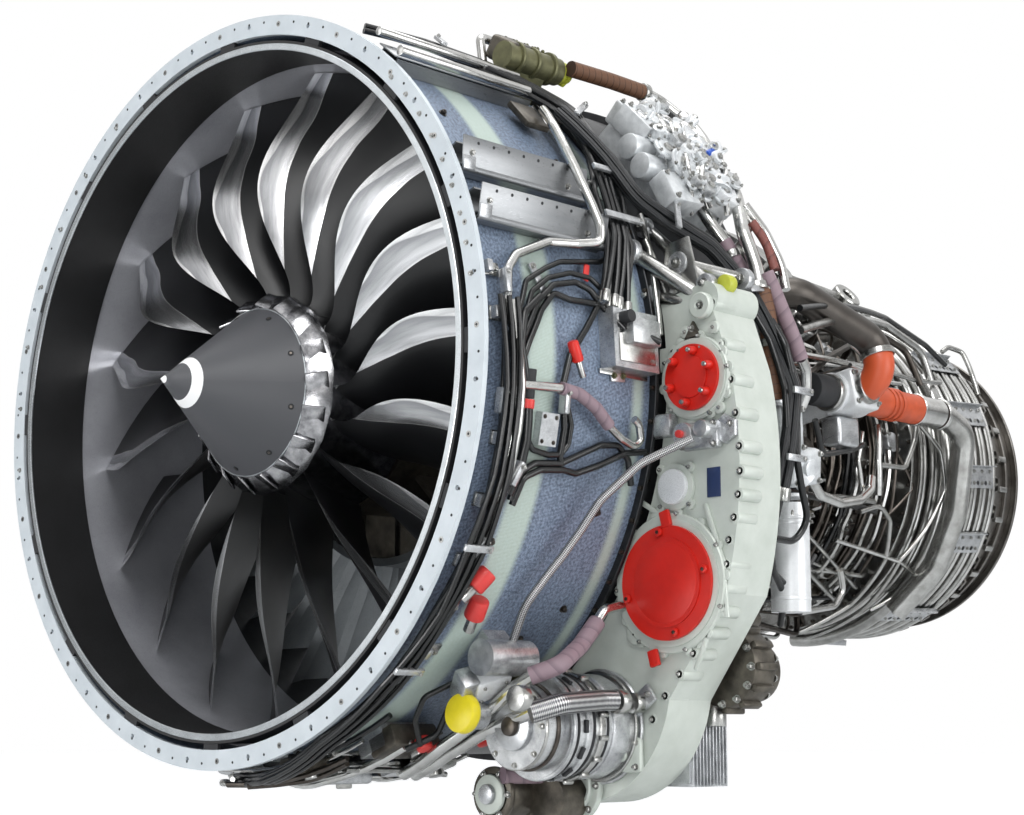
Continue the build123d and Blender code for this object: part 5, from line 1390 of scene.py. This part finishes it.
@dataclass
class FuelModule:
    """Castings, ports and pipes crowded round the fuel control."""

    seed: int = 23
    port_count: int = 46
    pipe_count: int = 14
    castings: tuple[tuple[Polar, Polar, Finish], ...] = (
        ((1.045, 0.800, 49.0), (0.16, 0.12, 0.075), WHITE_CASTING),
        ((1.045, 0.900, 52.0), (0.14, 0.14, 0.085), CAN),
        ((1.045, 0.850, 58.0), (0.18, 0.12, 0.080), WHITE_CASTING),
        ((1.045, 0.930, 60.5), (0.12, 0.10, 0.070), CAN),
        ((1.045, 0.760, 62.5), (0.12, 0.10, 0.060), WHITE_CASTING),
        ((1.020, 0.980, 56.0), (0.10, 0.12, 0.080), TURNED_ALLOY),
        ((1.020, 0.860, 44.5), (0.16, 0.10, 0.070), WHITE_CASTING),
    )
    valve_rings: tuple[tuple[float, float, float, int, Finish], ...] = (
        (-0.205, 0.030, 0.030, 32, OLIVE),
        (-0.170, 0.046, 0.012, 40, OLIVE),
        (-0.110, 0.044, 0.016, 40, OLIVE),
        (-0.045, 0.046, 0.014, 40, OLIVE),
        (0.000, 0.031, 0.020, 32, LIME),
        (0.020, 0.036, 0.014, 6, LIME),
        (0.034, 0.024, 0.012, 32, LIME),
    )

    def build(self) -> None:
        """Build the fuel control's crowd of castings, then the olive valve."""
        pick = Random(self.seed)
        made = Mould()
        for place, size, finish in self.castings:
            turned_seat = seat(place, pick.uniform(-12, 12))
            made.stamp(block(*size, 0.007), finish, turned_seat)
            spots = corners(turned_seat, size[0] * 0.4, size[1] * 0.38, size[2])
            made.stamp(bolt(0.006, 0.009), STEEL, *spots)
        for _ in range(self.port_count):
            place = (pick.uniform(1.10, 1.125), pick.uniform(0.74, 0.99), pick.uniform(45, 63))
            wide, tall = pick.choice((0.014, 0.018, 0.024, 0.030)), pick.uniform(0.012, 0.045)
            lean = seat(place, pick.uniform(0, 360)) @ spun(pick.choice((0, 0, 25, 70, 90)), "Y")
            made.stamp(drum(wide, tall, 0.003, 24), pick.choice((WHITE_CASTING, CAN, TURNED_ALLOY)), lean)
            made.stamp(drum(wide * 1.3, 0.008, 0.002, 24), WHITE_CASTING, lean)
            made.stamp(drum(wide * 0.5, tall + 0.008, 0.002, 6), STEEL, lean)
            made.stamp(bolt(0.0038, 0.006), STEEL, *circle(lean, 4, wide * 1.15, 0.008))
        for _ in range(self.pipe_count):
            y, turn, out = pick.uniform(0.74, 0.98), pick.uniform(45, 62), pick.uniform(1.11, 1.145)
            places = [(out - 0.03, y, turn), (out, y + pick.uniform(-0.03, 0.03), turn + 1.5)]
            places += [(out, y + pick.uniform(-0.09, 0.09), turn + pick.uniform(3, 7)), (out - 0.05, y, turn + 8)]
            made.pipe(places, pick.choice((0.005, 0.0065, 0.008)), BRIGHT_STEEL, 0.02, 8)
        for y, turn in ((0.70, 53.5), (0.70, 57.5), (0.765, 60.5)):
            barrel = seat((1.06, y, turn), 90) @ spun(90, "Y") @ spun(90, "X")
            made.stamp(drum(0.036, 0.080, 0.006, 36), WHITE_CASTING, barrel @ moved(z=-0.02))
        made.stamp(drum(0.011, 0.050, 0.003, 20), BLUE_CAP, seat((1.135, 0.905, 56.0), 30) @ spun(90, "Y"))
        made.stamp(drum(0.042, 0.030, 0.006, 40), TURNED_ALLOY, seat((1.060, 1.010, 47.5)) @ spun(90, "Y"))
        made.finish("fuel_control_details", "generator_metal")

        valve = Mould()
        cap = seat((1.073, 0.690, 33.0)) @ spun(90, "Y")
        for start, wide, long, sides, finish in self.valve_rings:
            valve.stamp(drum(wide, long, 0.003, sides), finish, cap @ moved(z=start))
        for place, size in (((1.045, 0.54, 31.0), (0.11, 0.09, 0.07)), ((1.035, 0.62, 30.0), (0.07, 0.10, 0.05))):
            valve.stamp(block(*size, 0.014, 3), DARK_CASTING, seat(place, 15))
        for k in range(10):
            valve.stamp(bolt(0.006, 0.007), OLIVE, seat((1.108, 0.53 + 0.014 * k, 29.5 + (k % 3)), 40 * k))
        valve.finish("olive_valve_details", "valve_olive")


@dataclass
class MountBracket:
    """Polished three-cornered bracket and links between the barrel and the gearbox's top."""

    links: tuple[tuple[Polar, Polar, float], ...] = (
        ((0.975, 0.62, 71.0), (1.115, 0.70, 81.0), 0.020), ((0.975, 0.66, 78.0), (1.115, 0.70, 81.5), 0.016),
        ((0.985, 0.70, 66.0), (1.130, 0.70, 79.0), 0.016), ((1.06, 0.70, 74.5), (1.13, 0.86, 77.0), 0.018),
    )

    def build(self) -> None:
        """Build the bracket and its links."""
        made = Mould()
        for a, b, wide in self.links:
            start, end = around(a), around(b)
            made.stamp(drum(wide, (end - start).length, 0.004, 24), STEEL, aimed(start, end - start))
            made.stamp(drum(wide * 1.7, 0.026, 0.004, 28), ALLOY, aimed(start), aimed(end))
            made.stamp(bolt(0.010, 0.014), STEEL, *[aimed(spot + FORWARD * 0.026) for spot in (start, end)])
        web = plate([(-0.06, -0.09), (0.07, -0.03), (0.02, 0.09), (-0.05, 0.07)], 0.010, 0.003)
        made.stamp(web, STEEL, aimed(around((1.055, 0.690, 75.5)), FORWARD, -8))
        made.stamp(drum(0.024, 0.032, 0.005, 28), LIME, aimed(around((1.165, 0.740, 79.3))))
        made.finish("gearbox_bracket", "steel")


def casing_radius(station: float) -> float:
    """Radius of the core's casing at a station, for pipes that rise from it."""
    for rear, radius in ((1.75, 0.345), (2.20, 0.400), (2.45, 0.436)):
        if station < rear:
            return radius
    return 0.535


@dataclass
class CoreModule:
    """Flanges, nozzles, pipes and harnesses round the core casings."""

    seed: int = 5
    long_count: int = 230
    hoop_count: int = 80
    box_count: int = 130
    side_box_count: int = 90
    arc_count: int = 22
    nozzle_count: int = 18
    flanges: tuple[tuple[float, float, float, int], ...] = (
        (1.140, 0.348, 0.372, 48), (1.300, 0.348, 0.370, 48), (1.460, 0.348, 0.372, 48),
        (1.620, 0.348, 0.374, 48), (1.740, 0.348, 0.430, 60), (1.980, 0.403, 0.424, 60),
        (2.190, 0.403, 0.465, 60), (2.320, 0.438, 0.458, 48), (2.440, 0.438, 0.560, 72),
    )
    manifolds: tuple[Polar, ...] = (
        (1.830, 0.470, 0.012), (1.905, 0.458, 0.009), (1.380, 0.392, 0.010), (1.540, 0.395, 0.010),
    )

    def build(self) -> None:
        """Build the rings first, then the pipes and boxes over them."""
        rings = Mould()
        for y, inner, outer, count in self.flanges:
            rings.stamp(ring(inner, outer, 0.012, 144, 0.002), STEEL, aimed((0, y, 0), REARWARD))
            rings.stamp(bolt(0.005, 0.010), DARK_STEEL, *hoop(outer - 0.009, y, evenly(count)))
        for turn in evenly(self.nozzle_count, 5):
            base = seat((0.404, 1.860, turn))
            rings.stamp(drum(0.026, 0.022, 0.004, 20), STEEL, base)
            rings.stamp(drum(0.012, 0.060, 0.003, 12), BRIGHT_STEEL, base)
        for y, r, wide in self.manifolds:
            rings.pipe([(r, y, 10.0 * k) for k in range(37)], wide, BRIGHT_STEEL, 0.01, 10)
        for y in (1.220, 1.380, 1.540):
            rings.stamp(block(0.050, 0.010, 0.036, 0.002), STEEL, *[seat((0.352, y, turn)) for turn in evenly(36)])
        rings.finish("core_rings", "core_metal")

        pipes = Mould()
        for run in CORE_RUNS:
            run.lay(pipes, 14)
        pipes.finish("core_lines", "steel")
        pick = Random(self.seed)
        self.build_crowd(pick)
        self.build_boxes(pick)

    def build_crowd(self, pick: Random) -> None:
        """Build the small pipes and leads that hide the casings, from a seeded scatter."""
        crowd = Mould()
        tones = (BRIGHT_STEEL, STEEL, STEEL, DARK_STEEL, DARK_STEEL, DARK_STEEL, BLACK_JACKET, BLACK_JACKET)
        for _ in range(self.long_count):
            turn, start = pick.uniform(0, 360), pick.uniform(1.12, 2.0)
            end = min(start + pick.uniform(0.2, 0.8), 2.42)
            out = pick.uniform(0.40, 0.53) if start < 1.7 else pick.uniform(0.46, 0.57)
            swing = pick.uniform(-26, 26)
            places = [(casing_radius(start), start, turn), (out, start + 0.03, turn + 1)]
            places += [(out + 0.01, (start + end) / 2, turn + swing * 0.5), (out + 0.02, end, turn + swing)]
            places += [(casing_radius(end), end + 0.02, turn + swing)]
            crowd.pipe(places, pick.choice((0.005, 0.0065, 0.008, 0.011)), pick.choice(tones), 0.05, 7)
        for _ in range(self.hoop_count):
            turn, y, out = pick.uniform(0, 360), pick.uniform(1.18, 2.43), pick.uniform(0.44, 0.56)
            swing = pick.uniform(20, 60)
            places = [(casing_radius(y), y, turn - 2), (out - 0.02, y, turn)]
            places += [(out + 0.01, y + pick.uniform(-0.07, 0.07), turn + swing / 2)]
            places += [(out - 0.02, y + pick.uniform(-0.07, 0.07), turn + swing)]
            places += [(casing_radius(y), places[-1][1], turn + swing + 2)]
            crowd.pipe(places, pick.choice((0.005, 0.0065, 0.009)), pick.choice(tones), 0.05, 7)
        for number in range(self.arc_count):
            y, out = 1.76 + 0.66 * number / self.arc_count, pick.uniform(0.475, 0.545)
            start, end = pick.uniform(40, 80), pick.uniform(130, 175)
            arc = [(out, y + pick.uniform(-0.008, 0.008), start + (end - start) * k / 12) for k in range(13)]
            arc = [(casing_radius(y), y, start - 2), *arc, (casing_radius(y), y, end + 2)]
            crowd.pipe(arc, pick.choice((0.006, 0.008, 0.010)), pick.choice(tones), 0.05, 7)
        crowd.finish("core_small_pipes", "steel")

    def build_boxes(self, pick: Random) -> None:
        """Build the valves and boxes on the casings, from the same scatter."""
        boxes = Mould()
        for _ in range(self.box_count):
            turn, y = pick.uniform(0, 360), pick.uniform(1.14, 2.38)
            size = (pick.uniform(0.03, 0.10), pick.uniform(0.03, 0.08), pick.uniform(0.05, 0.13))
            finish = pick.choice((DARK_CASTING, STEEL, DARK_STEEL, ALLOY, DARK_STEEL))
            place = seat((0.352 if y < 1.7 else 0.407, y, turn), pick.choice((0, 0, 15, 90)))
            shape = block(*size, 0.006) if pick.random() < 0.5 else drum(size[0] / 2, size[2], 0.005, 20)
            boxes.stamp(shape, finish, place)
            boxes.stamp(bolt(0.0045, 0.007), STEEL, *corners(place, size[0] * 0.35, size[0] * 0.35, size[2]))
        for _ in range(self.side_box_count):
            place = seat((0.415, pick.uniform(1.76, 2.40), pick.uniform(78, 165)), pick.choice((0, 0, 90)))
            size = (pick.uniform(0.03, 0.08), pick.uniform(0.02, 0.06), pick.uniform(0.04, 0.11))
            boxes.stamp(block(*size, 0.005), pick.choice((DARK_CASTING, DARK_STEEL, STEEL)), place)
            boxes.stamp(bolt(0.006, 0.010), STEEL, place @ moved(z=size[2]))
        boxes.finish("core_equipment", "dark_casting")


@dataclass
class MidSection:
    """Equipment between the fan frame and the turbine: mount links, valves and ducts."""

    seed: int = 31
    pipe_count: int = 96
    box_count: int = 44
    links: tuple[tuple[Polar, Polar], ...] = (
        ((0.760, 1.640, 66.0), (0.760, 1.960, 61.0)), ((0.770, 1.640, 52.0), (0.770, 1.960, 55.0)),
    )
    duct_rings: tuple[Polar, ...] = (
        (0.0, 0.0525, 0.022), (0.302, 0.0525, 0.022), (0.318, 0.0490, 0.115), (0.440, 0.0530, 0.016),
    )
    housings: tuple[tuple[Polar, Polar], ...] = (
        ((1.010, 1.05, 96.0), (0.10, 0.14, 0.10)), ((1.020, 1.13, 101.0), (0.13, 0.10, 0.09)),
        ((1.000, 1.06, 91.0), (0.09, 0.09, 0.08)),
    )

    def build(self) -> None:
        """Build the links, the ducts' rings, the valve's body and the canister's fittings."""
        made = Mould()
        for a, b in self.links:
            start, end = around(a), around(b)
            made.stamp(block(0.050, 0.030, (end - start).length, 0.008), STEEL, aimed(start, end - start))
            for spot in (start, end):
                eye = aimed(spot + Vector((-0.01, 0, -0.01)), around((1, 0, a[2])))
                made.stamp(ring(0.020, 0.048, 0.046, 40, 0.004), STEEL, eye)
        inward = -around((1.0, 0.0, 80.0))
        made.stamp(drum(0.053, 0.026, 0.004, 40), STEEL, aimed(around((0.800, 1.875, 80.0)), inward))
        clamp, after = around((0.850, 1.875, 73.4)), around((0.850, 1.875, 74.6))
        made.stamp(ring(0.046, 0.052, 0.020, 40, 0.002), STEEL, aimed(clamp, after - clamp))
        # Bleed valve's castings, on the valve's axis.
        valve = seat((0.655, 1.880, 80.0))
        made.stamp(block(0.130, 0.125, 0.125, 0.014, 3), CAN, valve)
        made.stamp(block(0.110, 0.090, 0.070, 0.012, 3), ALLOY, seat((0.640, 1.870, 89.5)))
        behind = seat((0.700, 1.780, 80.0)) @ spun(90, "Y")
        made.stamp(drum(0.058, 0.024, 0.006, 40), STEEL, behind)
        made.stamp(drum(0.050, 0.100, 0.004, 40), BLACK_RUBBER_AND_HOLE_SHADE, behind @ moved(z=-0.090))
        made.stamp(bolt(0.007, 0.012), STEEL, *corners(valve, 0.05, 0.045, 0.122))
        sleeve = seat((0.700, 1.955, 80.0)) @ spun(90, "Y")
        ribs = [sleeve @ moved(z=0.13 + 0.024 * k) for k in range(3)]
        made.stamp(ring(0.046, 0.0535, 0.011, 48, 0.004), ORANGE, *ribs)
        for start, wide, long in self.duct_rings:
            made.stamp(ring(0.044, wide, long, 48, 0.002), BRIGHT_STEEL, sleeve @ moved(z=start))
        # White housings above the canister, and the canister's head, bands and bracket.
        for place, size in self.housings:
            base = seat(place, 10)
            made.stamp(block(*size, 0.018, 3), WHITE_CASTING, base)
            made.stamp(drum(0.026, size[2] + 0.012, 0.004, 24), WHITE_CASTING, base)
            made.stamp(bolt(0.006, 0.010), STEEL, *corners(base, size[0] * 0.36, size[1] * 0.36, size[2]))
        made.stamp(drum(0.030, 0.120, 0.006, 32), CAN, aimed((1.03, 1.08, -0.16), (0.3, 0.4, -0.6)))
        for z, wide in ((-0.285, 0.050), (-0.345, 0.056), (-0.360, 0.0545), (-0.560, 0.0545)):
            made.stamp(drum(wide, 0.010, 0.003, 48), CAN, aimed((1.015, 1.14, z), (0, 0, 1)))
        made.stamp(block(0.110, 0.020, 0.014, 0.004), STEEL, aimed((1.000, 1.10, -0.33), (0.3, -1, 0)))
        made.finish("middle_equipment", "can_paint")
        self.build_filler()

    def build_filler(self) -> None:
        """Build the pipes and boxes behind the fan frame, from a seeded scatter."""
        filler = Mould()
        pick = Random(self.seed)
        tones = (STEEL, DARK_STEEL, DARK_STEEL, BLACK_JACKET, BLACK_JACKET)
        for _ in range(self.pipe_count):
            turn, y = pick.uniform(-45, 175), pick.uniform(1.10, 1.72)
            out = pick.uniform(0.55, 0.76) if turn < 60 else pick.uniform(0.46, 0.62)
            out -= max(0.0, y - 1.3) * 0.15
            places = [(casing_radius(y), y + 0.02, turn), (out, y + 0.01, turn)]
            places += [(out + 0.01, y + pick.uniform(0.05, 0.2), turn + pick.uniform(-12, 12))]
            places += [(out - 0.05, y + pick.uniform(0.25, 0.5), turn + pick.uniform(-16, 16))]
            _, rear, lean = places[-1]
            places += [(casing_radius(rear), rear + 0.03, lean)]
            filler.pipe(places, pick.choice((0.006, 0.008, 0.012, 0.017)), pick.choice(tones), 0.06, 8)
        for _ in range(self.box_count):
            turn, y = pick.uniform(-45, 175), pick.uniform(1.10, 1.72)
            out = pick.uniform(0.50, 0.62) if turn < 60 else pick.uniform(0.38, 0.52)
            size = (pick.uniform(0.05, 0.13), pick.uniform(0.04, 0.10), pick.uniform(0.05, 0.12))
            finish = pick.choice((DARK_CASTING, STEEL, ALLOY, DARK_STEEL))
            filler.stamp(block(*size, 0.008), finish, seat((out, y, turn), pick.uniform(0, 90)))
        filler.finish("middle_pipes", "steel")


@dataclass
class TurbineTubes:
    """Cooling tubes round the low turbine, the plates that hold them and the rear flange's bolts."""

    tube_r: float = 0.0085
    rows: Edge = (
        (2.500, 0.556), (2.560, 0.560), (2.620, 0.563), (2.680, 0.565),
        (2.740, 0.566), (2.800, 0.566), (2.860, 0.565), (2.920, 0.563),
    )
    plate_angles: tuple[float, ...] = (22, 50, 72, 94, 117, 150, 190, 230, 270, 310, 345)

    def build(self) -> None:
        """Build the tubes and plates, then the flange."""
        made = Mould()
        for y, r in self.rows:
            for radius, station, finish in ((r, y, STEEL), (r - 0.003, y + 0.026, BRIGHT_STEEL)):
                made.pipe([(radius, station, 6.0 * k) for k in range(61)], self.tube_r, finish, 0.01, 10)
        for angle in self.plate_angles:
            base = seat((0.576, 2.790, angle), 4)
            made.stamp(block(0.250, 0.075, 0.004, 0.0015), ALLOY, base)
            made.stamp(block(0.250, 0.004, 0.020, 0.001), ALLOY, base @ moved(y=0.0385))
            spots = [base @ moved(-0.10 + 0.05 * i, -0.02 + 0.04 * j, 0.004) for i in range(5) for j in range(2)]
            made.stamp(bolt(0.005, 0.007), STEEL, *spots)
            # Thin black discs on the plate: painted holes.
            made.stamp(drum(0.008, 0.0006, sides=16), BLACK_RUBBER_AND_HOLE_SHADE, *[spot @ moved(0.025) for spot in spots[:8:2]])
        made.pipe([(0.585, 2.600, 60.0 + 6 * k) for k in range(22)], 0.024, STEEL, 0.02, 16)
        made.finish("turbine_tubes", "turbine_metal", replaces=("cooling_tubes",))

        tail = Mould()
        tail.stamp(bolt(0.0065, 0.012), STEEL, *hoop(0.549, 2.980, evenly(36, 5.0)))
        tail.stamp(bolt(0.0065, 0.010), DARK_STEEL, *hoop(0.549, 2.992, evenly(36, 5.0), REARWARD))
        for y, outer in ((3.040, 0.514), (3.110, 0.514), (3.168, 0.522)):
            tail.stamp(ring(0.499, outer, 0.012, 144, 0.002), TURBINE_SKIN, aimed((0, y, 0), REARWARD))
        links = [seat((0.506, 3.080, turn)) for turn in evenly(30)]
        tail.stamp(block(0.050, 0.020, 0.018, 0.003), STEEL, *links)
        tail.finish("rear_flange_details", "turbine_metal")


@dataclass
class Studio:
    """Camera at the photograph's angle, soft lamps, pale floor and a white backdrop."""

    camera_place: Place = (4.2178, -3.1809, -0.8975)
    azimuth: float = 44.492
    elevation: float = -9.168
    lens_mm: float = 70.14
    sensor_mm: float = 36.0
    floor_height: float = -1.75
    floor_span: float = 60.0
    world_light: float = 0.46
    # Each lamp's name, place, size in metres and watts.
    lamps: tuple[tuple[str, Place, float, float], ...] = (
        ("key", (5.5, -3.0, 4.5), 4.0, 330),
        ("front", (-3.0, -6.0, 1.5), 5.0, 90),
        ("side", (7.0, 3.0, 0.5), 4.0, 190),
        ("top", (0.0, 1.5, 6.5), 5.0, 240),
        ("low", (-2.2, -6.0, -1.2), 2.0, 120),
        ("fill", (4.6, -4.2, -1.3), 1.2, 60),
    )

    def place_object(self, name: str, data: bpy.types.ID, place: Place, heading: Vector) -> Object:
        """Add a camera or a lamp that looks along a heading."""
        shown = bpy.data.objects.new(name, data)
        shown.location = place
        shown.rotation_mode = "QUATERNION"
        shown.rotation_quaternion = heading.to_track_quat("-Z", "Y")
        bpy.context.scene.collection.objects.link(shown)
        return shown

    def set_camera(self) -> None:
        """Create the camera and make it the scene's."""
        eye = bpy.data.cameras.new("camera")
        eye.lens = self.lens_mm
        eye.sensor_width = self.sensor_mm
        eye.clip_end = 200.0
        turn, rise = radians(self.azimuth), radians(self.elevation)
        back = Vector((sin(turn) * cos(rise), -cos(turn) * cos(rise), sin(rise)))
        bpy.context.scene.camera = self.place_object("camera", eye, self.camera_place, -back)

    def set_world(self) -> None:
        """White to the camera, a hall with darker walls in reflections, and plain soft light."""
        world = bpy.data.worlds.new("studio")
        bpy.context.scene.world = world
        world.use_nodes = True
        world.node_tree.nodes.clear()
        add = partial(add_node, world.node_tree)
        path = add("LightPath").outputs
        seen = add("Math", {"operation": "MAXIMUM", 0: path["Is Camera Ray"], 1: path["Is Transmission Ray"]})
        seen_or_glossy = add("Math", {"operation": "MAXIMUM", 0: seen, 1: path["Is Glossy Ray"]})
        heading = add("TexCoord").outputs["Generated"]
        rise = add("SeparateXYZ", {0: heading}).outputs[2]
        overhead = add("MapRange", {"From Min": 0.1, "From Max": 0.8, "Value": rise})
        walls = add("TexNoise", {"Scale": 1.8, "Detail": 1.5, "Vector": heading})
        panels = add("MapRange", {"From Min": 0.42, "From Max": 0.62, "To Min": 0.22, "Value": walls})
        hall = add("Math", {"operation": "MAXIMUM", 0: overhead, 1: panels})
        level = add("Math", {"operation": "MAXIMUM", 0: hall, 1: seen})
        soft = add("Background", {"Color": linear("#f4f6f8"), "Strength": self.world_light})
        white = add("Background", {"Color": linear("#ffffff"), "Strength": level})
        mixed = add("MixShader", {0: seen_or_glossy, 1: soft, 2: white})
        add("OutputWorld", {0: mixed})

    def set_lamps(self) -> None:
        """Add the square softboxes, which look at the middle of the engine."""
        for name, place, size, watts in self.lamps:
            lamp = bpy.data.lights.new(name, "AREA")
            lamp.size = size
            lamp.energy = watts
            self.place_object(name, lamp, place, Vector((0, 1.2, 0)) - Vector(place))

    def set_floor(self) -> None:
        """Lay the floor: white to the camera, but for the object's shadow."""
        shape = bmesh.new()
        bmesh.ops.create_grid(shape, x_segments=1, y_segments=1, size=self.floor_span)
        bmesh.ops.translate(shape, verts=shape.verts, vec=(0, 0, self.floor_height))
        mesh = bpy.data.meshes.new("floor")
        shape.to_mesh(mesh)
        shape.free()
        floor = bpy.data.objects.new("floor", mesh)
        bpy.context.scene.collection.objects.link(floor)
        paint = bpy.data.materials.new("pale floor")
        paint.use_nodes = True
        tree = paint.node_tree
        add = partial(add_node, tree)
        shader = wire(tree, tree.nodes["Principled BSDF"], {"Base Color": linear("#e9ebec"), "Roughness": 0.8})
        glow = add("Emission", {"Color": linear("#ffffff"), "Strength": 0.62})
        lit = add("AddShader", {0: shader, 1: glow})
        shown = add("MixShader", {0: add("LightPath").outputs["Is Camera Ray"], 1: shader, 2: lit})
        wire(tree, tree.nodes["Material Output"], {0: shown})
        mesh.materials.append(paint)

    def build(self) -> None:
        """Set up the whole studio."""
        bpy.context.scene.view_settings.view_transform = "Standard"
        self.set_camera()
        self.set_world()
        self.set_lamps()
        self.set_floor()


def main() -> None:
    """Dress the frame, build every sub-assembly and set up the studio."""
    logging.basicConfig(level=logging.INFO, format="%(name)s: %(message)s")
    for finish, nodes in CAD_FINISHES:
        for node in nodes.split():
            dress(node, finish)
    for part in (
        InletRing(), FanDetails(), RailPlates(), BarrelFittings(), BarrelPipes(), GearboxFittings(),
        GeneratorDetails(), Underside(), FuelModule(), MountBracket(), CoreModule(), MidSection(),
        TurbineTubes(), Studio(),
    ):
        part.build()


if __name__ == "__main__":
    main()
